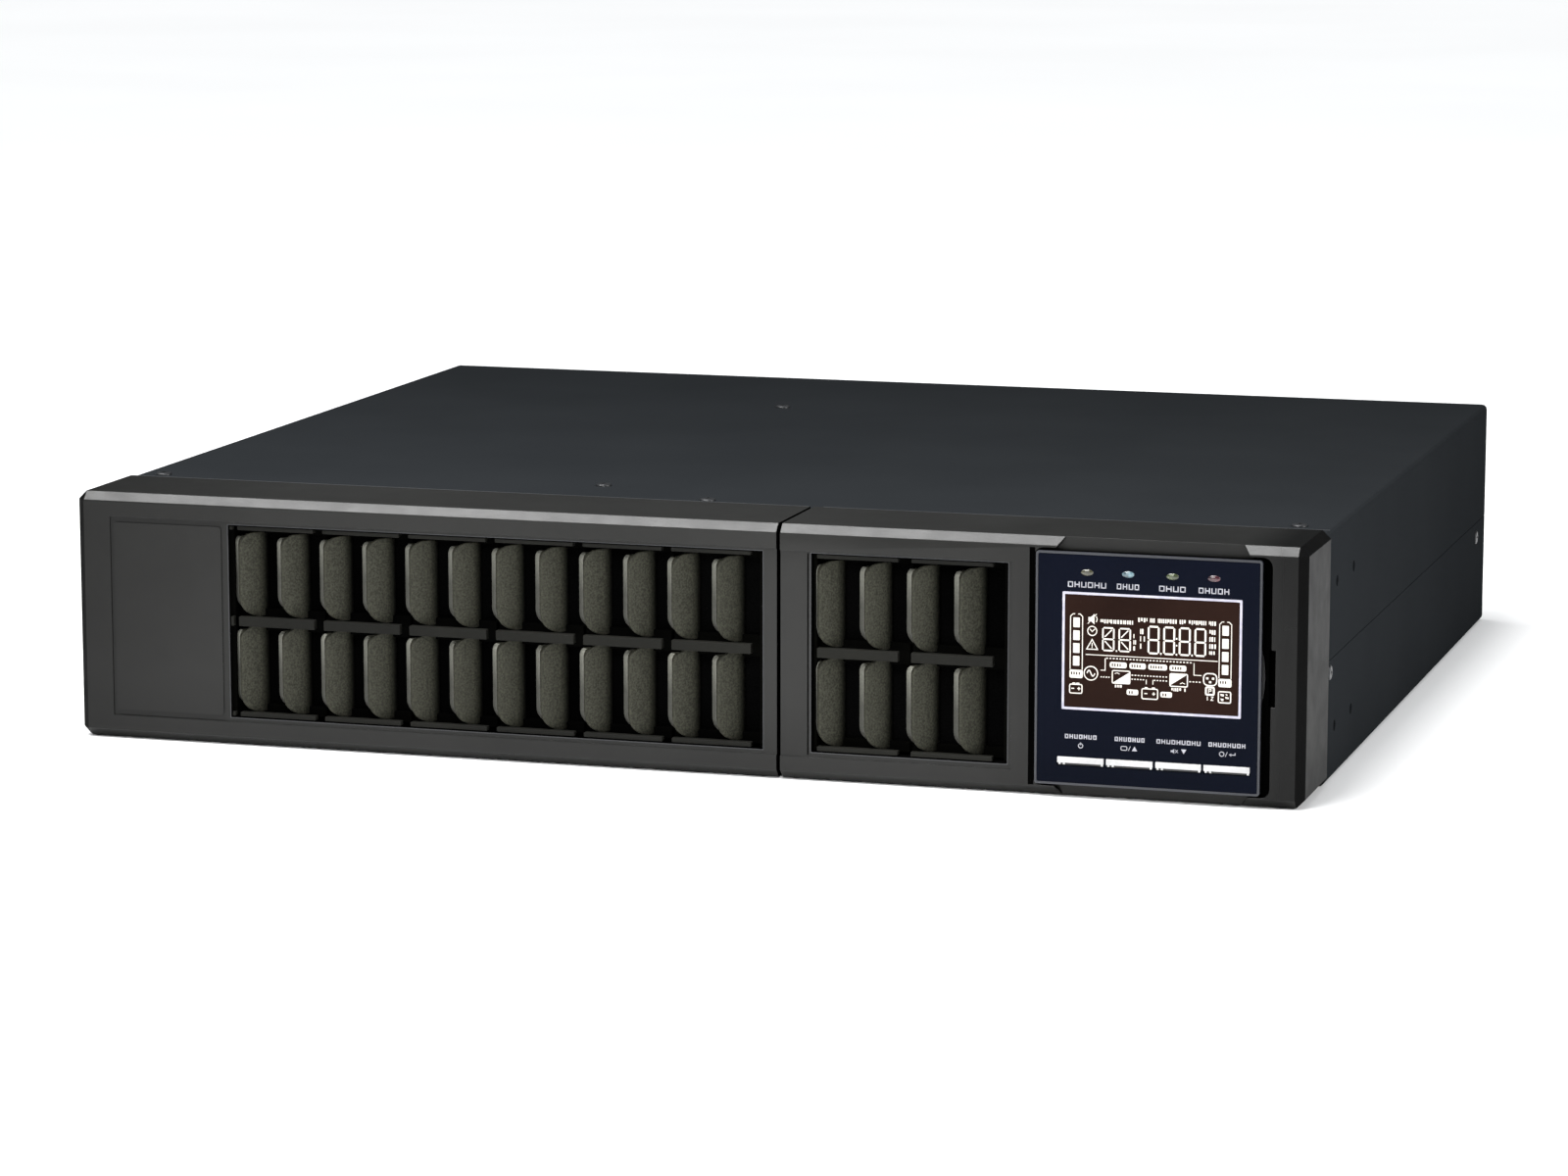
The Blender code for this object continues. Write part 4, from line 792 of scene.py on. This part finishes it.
def draw_icons(bm):
    """Speaker, clock, warning triangle, supply, outlet and small boxes."""
    screen_shape(bm, [(8.6, 8.0), (9.4, 8.0), (10.6, 6.9), (10.6, 10.3), (9.4, 9.3), (8.6, 9.3)])
    wave = [(8.3 + 2.6 * step / 12, 26.4 - 0.95 * sin(2 * pi * step / 12))
            for step in range(13)]
    for width, points in (
            (0.3, [(8.4, 10.2), (11.3, 6.9)]), (0.3, [(11.2, 7.7), (11.5, 8.6), (11.2, 9.6)]),
            (0.36, [(9.1, 11.9), (9.9, 12.7), (10.8, 11.8)]), (0.4, wave),
            (0.28, [(48.4, 30.8), (48.4, 29.5), (49.2, 29.5), (49.2, 30.1), (48.4, 30.1)]),
            (0.3, [(48.0, 31.9), (48.0, 33.2)]),
            (0.3, [(49.2, 32.0), (49.9, 32.0), (49.2, 33.1), (50.0, 33.1)])):
        screen_line(bm, points, width)
    for width, points in ((0.36, oval((9.9, 12.5), (1.5, 1.5), 28)),
                          (0.36, [(9.9, 15.3), (11.7, 18.5), (8.1, 18.5)]),
                          (0.4, oval((9.6, 26.4), (2.25, 2.25), 28))):
        screen_line(bm, points, width, True)
    screen_block(bm, 9.75, 16.4, 10.05, 17.6, 0.1)
    screen_block(bm, 9.75, 17.8, 10.05, 18.1, 0.1)
    screen_frame(bm, 46.7, 24.4, 51.0, 28.3, 0.4, 1.4)
    for u, v in ((47.9, 26.0), (49.8, 26.0), (48.85, 27.2)):
        screen_block(bm, u - 0.4, v - 0.35, u + 0.4, v + 0.35, 0.15)
    screen_frame(bm, 47.5, 28.9, 50.1, 31.3, 0.6, 0.4)
    screen_frame(bm, 51.6, 30.1, 55.6, 33.7, 0.4, 0.5)
    for u0, v0, u1, v1 in ((52.2, 30.8, 53.4, 31.6), (53.8, 31.7, 55.0, 32.4),
                           (52.3, 32.3, 53.3, 33.1), (53.9, 30.8, 54.6, 31.3)):
        screen_shape(bm, [(u0, v0), (u1, v0 + 0.15), (u1 - 0.1, v1), (u0 + 0.2, v1 - 0.1)])


def draw_converter(bm, u0, v0, u1, v1, filled_low):
    """A converter: a box cut by a diagonal, one half filled."""
    screen_frame(bm, u0, v0, u1, v1, 0.35, 0.4)
    if filled_low:
        screen_shape(bm, [(u0 + 0.3, v1 - 0.2), (u1 - 0.2, v0 + 0.4), (u1 - 0.2, v1 - 0.2)])
        screen_line(bm, [(u0 + 0.8, v0 + 1.0), (u0 + 1.6, v0 + 0.7), (u0 + 2.4, v0 + 1.1)], 0.25)
    else:
        screen_shape(bm, [(u0 + 0.2, v0 + 0.2), (u1 - 0.3, v0 + 0.2), (u0 + 0.2, v1 - 0.4)])
        screen_line(bm, [(u1 - 2.4, v1 - 0.9), (u1 - 1.6, v1 - 1.3), (u1 - 0.8, v1 - 0.9)], 0.25)


def draw_flow(bm):
    """The power path in the lower half of the screen."""
    for points in ([(7.8, 20.3), (51.2, 20.3)], [(12.8, 25.2), (14.3, 25.2), (14.3, 21.3)],
                   [(43.5, 21.3), (43.5, 25.2), (46.0, 25.2)], [(27.9, 27.5), (27.9, 29.0)],
                   [(30.1, 27.5), (30.1, 29.0)]):
        screen_line(bm, points)
    for u0, u1, v, count in ((14.6, 43.2, 21.2, 26), (12.8, 16.2, 27.4, 4), (23.0, 35.2, 26.3, 12),
                             (23.0, 27.6, 27.6, 5), (30.4, 35.2, 27.6, 5), (42.0, 46.2, 27.4, 4)):
        pitch = (u1 - u0) / count
        for index in range(count):
            left = u0 + index * pitch
            screen_block(bm, left, v - 0.18, left + 0.55 * pitch, v + 0.18, 0.1)
    for u0, u1 in ((15.8, 21.4), (22.3, 27.7), (28.5, 34.7), (35.5, 41.0)):
        screen_block(bm, u0, 22.3, u1, 24.2, 0.6)
    draw_converter(bm, 16.7, 25.1, 22.5, 29.2, True)
    draw_converter(bm, 35.7, 25.1, 41.4, 29.2, False)
    draw_battery(bm, 26.5, 30.1, 31.7, 33.8)
    screen_block(bm, 21.5, 31.0, 25.3, 32.8, 0.5)
    screen_block(bm, 32.6, 31.2, 36.4, 33.0, 0.5)
    draw_battery(bm, 2.6, 29.9, 6.7, 33.2)


def draw_readout(bm):
    """The digits in the upper half of the screen."""
    for u in (13.2, 18.6):
        seven_segments(bm, u, 11.0, 4.1, 7.9, 0.5)
        screen_line(bm, [(u + 0.9, 14.2), (u + 3.2, 11.8)], 0.45)
        screen_line(bm, [(u + 0.9, 15.6), (u + 3.2, 18.0)], 0.45)
    for u in (28.2, 33.3, 38.4, 43.5):
        seven_segments(bm, u, 9.8, 3.9, 9.3, 0.6)
    for u, v, tall in ((17.75, 18.4, 0.5), (32.35, 18.5, 0.6), (37.45, 18.5, 0.6),
                       (42.55, 18.5, 0.6), (37.45, 13.4, 0.5), (37.45, 15.6, 0.5)):
        screen_block(bm, u, v, u + 0.5, v + tall, 0.1)


def make_screen_drawing():
    """Everything that the screen shows, and the pale line round it."""
    bm = bmesh.new()
    draw_meter(bm, 2.7, 6.7, 7.2, 25.4, 28.2)
    draw_meter(bm, 51.7, 55.6, 7.4, 25.8, 28.6)
    draw_icons(bm)
    draw_flow(bm)
    draw_readout(bm)
    finish_piece(bm, "screen_segments", SEGMENT, "display_head")
    bm = bmesh.new()
    for row in ((12.6, 24.4, 8.5, 9.8, 3), (25.0, 51.1, 7.4, 8.8, 5), (17.6, 21.4, 29.7, 30.6, 7),
                (36.2, 41.2, 29.7, 30.8, 9)):
        marks_row(bm, *row)
    for u0, u1, v, tall, pitch, count, seed in ((48.4, 51.0, 10.2, 1.5, 2.3, 4, 11),
                                                (25.7, 27.5, 11.0, 1.7, 2.4, 3, 21),
                                                (23.5, 24.6, 12.8, 1.4, 2.0, 3, 31)):
        for row in range(count):
            top = v + row * pitch
            marks_row(bm, u0, u1, top, top + tall, seed + row)
    finish_piece(bm, "screen_small_marks", SEGMENT, "display_head")
    bm = bmesh.new()
    for u0, u1, v in ((3.0, 6.4, 26.2), (52.0, 55.3, 26.6), (16.5, 20.7, 22.8), (23.0, 27.0, 22.8),
                      (29.2, 34.0, 22.8), (36.4, 40.1, 22.8), (22.2, 24.7, 31.5), (33.3, 35.8, 31.7)):
        dark_marks(bm, u0, u1, v, v + 0.9)
    finish_piece(bm, "screen_dark_marks", SCREEN, "display_head")
    bm = bmesh.new()
    frame_prism(bm, rectangle(SCREEN_LOW, SCREEN_HIGH, 0.3, 0.0, 2),
                rectangle(SCREEN_LOW, SCREEN_HIGH, 0.3, -0.8, 2), SCREEN_LOW.y - 0.1, ON_SCREEN[1])
    finish_piece(bm, "screen_line_frame", FRAME_LINE, "display_head")


LIP_LOW = Vector((HEAD_LOW.x - 0.9, HEAD_LOW.y, HEAD_LOW.z - 1.0))
LIP_HIGH = Vector((HEAD_HIGH.x - 1.3, FRONT - 0.15, HEAD_HIGH.z + 1.0))
LIP_RIM = 0.75
POCKET_HALF = 40.3
DRUM_INSET = 2.6
DRUM_WALL = 1.8
KEYS = ("key_off", "key_test", "key_mute", "key_on")


def rectangle(low, high, radius, grow=0.0, steps=4):
    """The outline of the face between two corners, in X and Z."""
    return rounded((low.x - grow, low.z - grow), (high.x + grow, high.z + grow), radius, steps)


def make_head():
    """The display's square front, its drum, its tinted sheet, and a strip of painted shadow left of the
    pocket.
    """
    low, high = node_box("display_frame")
    middle = (low + high) / 2
    bm = bmesh.new()
    openings = [rectangle(*node_box(name), 0.3, 0.3) for name in KEYS]
    openings += [rectangle(SCREEN_LOW, SCREEN_HIGH, 0.3, 0.3)]
    plate_high = Vector((LIP_HIGH.x - 0.2, high.y, high.z))
    pierced(bm, rectangle(low, plate_high, 1.5), openings, FRONT - 0.15, FRONT + 1.4)
    frame_prism(bm, rectangle(LIP_LOW, LIP_HIGH, 1.0), rectangle(LIP_LOW, LIP_HIGH, 0.6, -LIP_RIM),
                LIP_LOW.y, LIP_HIGH.y)
    soften(bm, 0.2, 50.0)
    drum = (high.x - low.x) / 2 - DRUM_INSET
    outer, inner = (oval((middle.x, middle.z), (reach, reach), 72)
                    for reach in (drum, drum - DRUM_WALL))
    frame_prism(bm, outer, inner, FRONT + 1.3, high.y)
    finish_piece(bm, "display_head_frame", HEAD, "display_head", ("display_frame",))
    bm = bmesh.new()
    windows = [rectangle(*node_box(name), 0.3, 0.2) for name in KEYS]
    windows += [rectangle(SCREEN_LOW, SCREEN_HIGH, 0.2, 0.1)]
    pierced(bm, rectangle(LIP_LOW, LIP_HIGH, 0.4, -LIP_RIM - 0.1), windows, LENS_LOW.y, LIP_HIGH.y)
    finish_piece(bm, "display_tinted_sheet", LENS, "display_head", ("display_lens",))
    # Painted shadow: a dark strip on the bezel where the gap left of the head falls in shade.
    bm = bmesh.new()
    edge = middle.x - POCKET_HALF
    block(bm, (edge - 1.6, FRONT - 0.06, middle.z - POCKET_HALF),
          (edge + 0.3, FRONT + 0.6, middle.z + POCKET_HALF))
    finish_piece(bm, "pocket_painted_shadow", SHADOW, "chassis")


def make_keys():
    """The four bar keys: a bright face over a darker foot with a lip at each corner."""
    for name in KEYS:
        low, high = node_box(name)
        bm = bmesh.new()
        block(bm, (low.x, low.y, low.z + 0.75), high)
        block(bm, (low.x + 0.3, low.y + 0.5, low.z), (high.x - 0.3, high.y, low.z + 0.9))
        for left, foot in ((low.x + 0.4, 0.15), (low.x + 1.9, 0.15), (high.x - 1.0, 0.1)):
            block(bm, (left, low.y + 0.1, low.z + foot), (left + 0.8, low.y + 1.2, low.z + 0.8))
        soften(bm, 0.16, 50.0)
        piece = finish_piece(bm, name + "_cap", KEY, name, (name,))
        shade_faces(piece, {"foot": KEY_FOOT}, lambda centre, normal, low=low: "foot" if (
            centre.y > low.y + 0.35 and centre.z < low.z + 0.85) else None)


LIGHTS = (("light_bypass", (42, 41, 28), (84, 82, 60), 0.0),
          ("light_line", (28, 50, 60), (120, 150, 160), 0.03),
          ("light_battery", (36, 42, 24), (78, 90, 50), 0.0),
          ("light_fault", (40, 16, 24), (86, 36, 48), 0.0))


def make_light_domes():
    """Four small oval domes over the light guides."""
    for name, first, second, glow in LIGHTS:
        middle = sum(node_box(name), Vector()) / 2
        bm = bmesh.new()
        made = bmesh.ops.create_uvsphere(bm, u_segments=28, v_segments=14, radius=1.0)
        reach = Matrix.Diagonal((2.2, 0.7, 1.15, 1.0))
        move = Matrix.Translation((middle.x, LENS_LOW.y + 0.2, middle.z - 0.5))
        bmesh.ops.transform(bm, matrix=move @ reach, verts=made["verts"])
        finish_piece(bm, name + "_dome", light_look(name + "_clear", first, second, glow),
                     "display_head", (name,), 60.0)


def panel_bars(bm, centre, z, tall, wide, count, gap):
    """A row of plain open marks, centred, where the panel has a word."""
    line = 0.34
    left = centre - (wide * count + gap * (count - 1)) / 2
    for index in range(count):
        right = left + wide
        for x in (left, right - line):
            prism(bm, rounded((x, z), (x + line, z + tall), 0.08, 1), *ON_LENS)
        for level in ((z + tall - line, z), (z + (tall - line) / 2,), (z,))[index % 3]:
            prism(bm, rounded((left + line + 0.03, level), (right - line - 0.03, level + line),
                              0.08, 1), *ON_LENS)
        left = right + gap


def key_pictures(bm, centres, z):
    """The small pictures over the keys: power, test, quiet and enter."""
    first, second, third, fourth = centres
    for x, points, width in (
            (first, ((0.0, 0.2), (0.0, 1.15)), 0.28), (second, ((-0.4, -0.8), (0.3, 0.8)), 0.2),
            (third, ((-1.0, -0.5), (-0.2, 0.5)), 0.2), (third, ((-1.0, 0.5), (-0.2, -0.5)), 0.2),
            (fourth, ((-0.5, -0.8), (0.2, 0.8)), 0.2),
            (fourth, ((2.8, 0.6), (2.8, -0.1), (1.2, -0.1)), 0.28)):
        stroke(bm, [(x + right, z + up) for right, up in points], width, *ON_LENS)
    for x, points in (
            (second, ((0.8, -0.75), (2.6, -0.75), (1.7, 0.8))),
            (third, ((-2.6, -0.3), (-2.1, -0.3), (-1.4, -0.8), (-1.4, 0.8), (-2.1, 0.3), (-2.6, 0.3))),
            (third, ((0.9, 0.8), (1.8, -0.8), (2.7, 0.8))),
            (fourth, ((0.7, -0.1), (1.5, 0.4), (1.5, -0.6)))):
        prism(bm, [(x + right, z + up) for right, up in points], *ON_LENS)
    box = rounded((second - 2.9, z - 0.65), (second - 0.9, z + 0.65), 0.3, 2)
    for points, width in ((oval((first, z), (0.75, 0.75), 20), 0.25), (box, 0.22),
                          (oval((fourth - 1.7, z), (0.75, 0.75), 20), 0.25)):
        stroke(bm, points, width, *ON_LENS, True)


def make_panel_print():
    """Plain marks where the panel has words, and pictures over the keys."""
    bm = bmesh.new()
    for name, letters, wide in (("light_bypass", 6, 1.75), ("light_line", 4, 1.5),
                                ("light_battery", 4, 1.85), ("light_fault", 5, 1.65)):
        panel_bars(bm, centre_of(name)[0], node_box(name)[0].z - 4.3, 1.9, wide, letters, 0.5)
    centres = [centre_of(name)[0] for name in KEYS]
    for x, letters, wide in zip(centres, (7, 7, 9, 8), (1.2, 1.1, 1.3, 1.2)):
        panel_bars(bm, x, BUTTON_TOP + 6.3, 1.5, wide, letters, 0.4)
    key_pictures(bm, centres, BUTTON_TOP + 4.0)
    finish_piece(bm, "panel_print", INK, "display_head")


BUTTON_TOP = node_box("key_off")[1].z


# --- screws ---

def make_screws(name, spots, axis, face, outward, radius=2.9, tall=0.9):
    """Pan-head screws with cross recesses."""
    bm = bmesh.new()
    for centre in spots:
        add_screw(bm, centre, axis, face, outward, radius, tall)
    finish_piece(bm, name, BLACK_SCREW, "chassis", (), 35.0)


def add_screw(bm, centre, axis, face, outward, radius, tall):
    """One turned head: a dome of rings with a cross sunk in its top."""

    def ring(points, level):
        """Vertices at a level above the face."""
        return [bm.verts.new(along((centre[0] + x, centre[1] + y), face + outward * tall * level, axis))
                for x, y in points]

    dome = [ring(oval((0, 0), (radius * reach, radius * reach), 32), level) for reach, level in (
        (1.0, -0.25), (1.0, 0.35), (0.93, 0.68), (0.78, 0.9), (0.5, 1.0))]
    bridge(bm, dome)
    bm.faces.new(dome[0][::-1])
    arm = radius * 0.42
    half = radius * 0.11
    cross = []
    for across, up in ((1, 0), (0, 1), (-1, 0), (0, -1)):
        for x, y in ((half, -half), (arm, -half), (arm, half)):
            cross.append((x * across - y * up, x * up + y * across))
    floor = ring(cross, 0.35)
    rim = ring(cross, 1.0)
    bm.faces.new(floor)
    bridge(bm, [floor, rim])
    top_edges = [bm.edges.get((loop[index - 1], loop[index])) for loop in (dome[-1], rim)
                 for index in range(len(loop))]
    bmesh.ops.triangle_fill(bm, edges=top_edges, use_beauty=True)


def make_case_screws():
    """The screws that the top and both sides show."""
    top = [(-209.0, FRONT + 52.0), (-48.0, FRONT + 72.0), (-2.0, FRONT + 49.5),
           (-47.5, FRONT + 291.0), (207.0, FRONT + 52.5)]
    make_screws("cover_screws", top, "Z", COVER_HIGH.z, 1)
    side = [(FRONT + 47.5, 38.3), (FRONT + 358.0, 36.8)]
    make_screws("side_screws_right", side, "X", COVER_HIGH.x, 1, 2.6, 0.7)
    make_screws("side_screws_left", side, "X", COVER_LOW.x, -1, 2.6, 0.7)


def tube(bm, points, radius):
    """A round cable through points."""
    rings = []
    for index, here in enumerate(points):
        before = points[max(index - 1, 0)]
        after = points[min(index + 1, len(points) - 1)]
        turn = (after - before).to_track_quat("Z", "Y").to_matrix()
        rings.append([bm.verts.new(here + turn @ Vector((x, y, 0)))
                      for x, y in oval((0, 0), (radius, radius), 12)])
    bridge(bm, rings)
    bm.faces.new(rings[0])
    bm.faces.new(rings[-1])


def arc_between(first, second, rise):
    """Points of a cable that bows upward between two places."""
    steps = 14
    return [first.lerp(second, step / steps) + Vector((0, 0, rise * sin(pi * step / steps)))
            for step in range(steps + 1)]


# --- batteries ---

def make_batteries():
    """Cases with a lid seam, vent caps, posts and the cables between them."""
    posts = []
    for number in range(1, 5):
        node = "battery_%d" % number
        low, high = node_box(node)
        refined(node, "battery_tray", BATTERY, 0.3)
        bm = bmesh.new()
        block(bm, (low.x + 3, low.y + 3, high.z - 0.2), (high.x - 3, high.y - 3, high.z + 0.7))
        for cap in range(6):
            centre = (low.x + 25 + cap * 9.5, (low.y + high.y) / 2 + (20 if number > 2 else -20))
            rod(bm, centre, 3.6, high.z, high.z + 1.2, "Z", 24)
        soften(bm, 0.3, 50.0)
        finish_piece(bm, node + "_lid", BATTERY, "battery_tray", (), 20.0)
        end = low.y + 16 if number < 3 else high.y - 16
        for side, look, slot in ((low.x + 16, RED, "breaker_red"), (high.x - 16, BLACK, "black_plastic")):
            bm = bmesh.new()
            block(bm, (side - 6, end - 5, high.z + 0.6), (side + 6, end + 5, high.z + 3.0))
            rod(bm, (side, end), 3.0, high.z + 2.9, high.z + 4.4, "Z", 6)
            soften(bm, 0.4, 50.0)
            post = finish_piece(bm, node + ("_plus" if look is RED else "_minus"), look,
                                "battery_tray")
            shade_faces(post, {"nut": NICKEL},
                        lambda centre, normal, top=high.z: "nut" if centre.z > top + 2.95 else None)
            posts.append(Vector((side, end, high.z + 3.4)))
    bm = bmesh.new()
    for index in (1, 5):
        tube(bm, arc_between(posts[index], posts[index + 1], 3.5), 2.0)
    finish_piece(bm, "battery_links", BLACK, "battery_tray", (), 60.0)


# --- rear fittings ---

def sunk_blocks(bm, node, spots, half_wide, half_tall, low, high):
    """Adds a block at each spot of a socket, from low to high behind its rear face."""
    x, z = centre_of(node)
    face = node_box(node)[1].y
    for right, up in spots:
        block(bm, (x + right - half_wide, face - low, z + up - half_tall),
              (x + right + half_wide, face - high, z + up + half_tall))


def make_contacts():
    """The metal contacts inside the sockets of the rear panel."""
    bm = bmesh.new()
    sunk_blocks(bm, "mains_inlet", ((-7.0, -1.4), (0.0, 2.6), (7.0, -1.4)), 1.0, 2.1, 15.9, 3.0)
    sunk_blocks(bm, "pack_connector", ((-8.8, 0.0), (8.8, 0.0)), 2.6, 4.6, 8.5, 1.6)
    soften(bm, 0.3, 50.0)
    x, z = centre_of("serial_port")
    face = node_box("serial_port")[1].y
    for count, level in ((5, 1.4), (4, -1.4)):
        for index in range(count):
            centre = (x + (index - (count - 1) / 2) * 2.75, z + level)
            rod(bm, centre, 0.5, face - 6.2, face - 0.8, "Y", 12)
    finish_piece(bm, "rear_contacts", NICKEL, "chassis", (), 30.0)
    bm = bmesh.new()
    wires = [(side - 3.55 + index, 2.8) for side in (-7.5, 7.5) for index in range(8)]
    sunk_blocks(bm, "line_jacks", wires, 0.25, 0.2, 11.2, 1.0)
    finish_piece(bm, "jack_contacts", BRASS, "chassis")
    bm = bmesh.new()
    sunk_blocks(bm, "usb_port", ((0.0, 0.0),), 2.7, 1.5, 9.6, 1.0)
    soften(bm, 0.3, 50.0)
    finish_piece(bm, "usb_tongue", BLACK, "chassis")


def make_thumb_screws():
    """Knurled heads with a slot."""
    for number in (1, 2):
        node = "thumb_screw_%d" % number
        low, high = node_box(node)
        x, z = centre_of(node)
        crests = oval((x, z), (4.6, 4.6), 72)
        roots = oval((x, z), (4.25, 4.25), 72)
        bm = bmesh.new()
        prism(bm, [crests[step] if step % 2 else roots[step] for step in range(72)],
              low.y + 0.3, high.y - 0.5)
        slot = [rounded((x - 3.0, z - 0.5), (x + 3.0, z + 0.5), 0.2, 2)]
        pierced(bm, oval((x, z), (4.1, 4.1), 36), slot, high.y - 0.5, high.y)
        rod(bm, (x, z), 4.2, low.y, low.y + 0.35, "Y", 36)
        finish_piece(bm, node + "_knurled", NICKEL, "chassis", (node,))


def make_panel_screws():
    """The screws of the rear panel and the fan."""
    x, z = centre_of("fan_frame")
    spots = [(x + side * 35.6, z + level * 35.6) for side in (-1, 1) for level in (-1, 1)]
    make_screws("fan_screws", spots, "Y", PANEL_FACE, 1, 3.4, 1.1)
    spots = [(-213.0, 12.0), (-213.0, 76.0), (-54.0, 79.0), (-54.0, 8.5), (124.0, 79.0), (4.0, 79.0),
             (-134.0, 79.6), (-134.0, 8.0)]
    make_screws("panel_screws", spots, "Y", PANEL_FACE, 1, 2.4, 0.8)


# --- stage ---

CAMERA_TARGET = Vector((40.8, FRONT, 66.2)) * MM
CAMERA_TURN = radians(16.79)
CAMERA_RISE = radians(9.7)
CAMERA_AWAY = 1.70
CAMERA_LENS = 115.4


def make_camera():
    """The camera at the photograph's angle."""
    away = Vector((sin(CAMERA_TURN) * cos(CAMERA_RISE),
                   -cos(CAMERA_TURN) * cos(CAMERA_RISE), sin(CAMERA_RISE)))
    data = bpy.data.cameras.new("camera")
    data.lens = CAMERA_LENS
    data.sensor_width = 36.0
    data.clip_start = 0.05
    camera = new_object("camera", data)
    camera.location = CAMERA_TARGET + away * CAMERA_AWAY
    camera.rotation_euler = (-away).to_track_quat("-Z", "Y").to_euler()
    bpy.context.scene.camera = camera


def make_floor():
    """A plain pale floor."""
    bm = bmesh.new()
    bmesh.ops.create_grid(bm, x_segments=1, y_segments=1, size=9.0)
    mesh = bpy.data.meshes.new("floor")
    bm.to_mesh(mesh)
    bm.free()
    floor = new_object("floor", mesh)
    look = Look("pale_floor", roughness=0.9, specular=0.1)
    look.paint(look.noise(2.0, 2.0), (0.93, 0.93, 0.93, 1), (0.95, 0.95, 0.95, 1))
    mesh.materials.append(look.material)


def area_light(name, where, target, size, power):
    """A soft rectangular light aimed at a point, in metres and watts."""
    data = bpy.data.lights.new(name, "AREA")
    data.shape = "RECTANGLE"
    data.size, data.size_y = size
    data.energy = power
    light = new_object(name, data)
    light.location = where
    aim = Vector(target) - Vector(where)
    light.rotation_euler = aim.to_track_quat("-Z", "Y").to_euler()


def make_lights():
    """A wide soft sun, a strip over the front edge, a front fill, and a room bright overhead."""
    data = bpy.data.lights.new("sun", "SUN")
    data.energy = 2.4
    data.angle = radians(45)
    sun = new_object("sun", data)
    sun.rotation_euler = Vector((0.30, 0.18, -0.94)).to_track_quat("-Z", "Y").to_euler()
    area_light("strip", (-0.33, -0.40, 1.25), (-0.33, -0.40, 0.0), (0.96, 0.13), 15.0)
    area_light("fill", (0.05, -0.55, 0.26), (0.02, -0.19, 0.04), (0.2, 0.1), 0.9)
    area_light("left", (-1.0, -0.8, 0.85), (-0.05, -0.19, 0.05), (0.5, 0.5), 3.0)
    area_light("right", (1.5, -0.3, 0.8), (0.22, 0.0, 0.05), (0.7, 0.5), 18.0)
    world = bpy.data.worlds.new("studio")
    world.use_nodes = True
    tree = world.node_tree
    shade = tree.nodes["Background"].inputs
    shade["Color"].default_value = (0.93, 0.97, 1.0, 1.0)
    where = add_node(tree, "TexCoord", {})["Generated"]
    rise = add_node(tree, "SeparateXYZ", {"Vector": where})["Z"]
    shine = add_node(tree, "MapRange", {"Value": rise, "From Min": 0.25, "From Max": 1.0,
                                        "To Min": 0.03, "To Max": 0.6})
    tree.links.new(shine["Result"], shade["Strength"])
    bpy.context.scene.world = world
    bpy.context.scene.view_settings.view_transform = "Standard"


# --- the whole ---

dress_nodes()
make_bezels()
make_head()
make_keys()
make_louvres("door_grille", "battery_door", -158.0, 12, 15.94, WINDOW_REACH)
make_louvres("intake_grille", "chassis", 53.2, 4, 16.5, 0.0)
make_door_filter()
make_screen_drawing()
make_light_domes()
make_panel_print()
make_case_screws()
make_batteries()
make_contacts()
make_thumb_screws()
make_panel_screws()
make_floor()
make_camera()
make_lights()
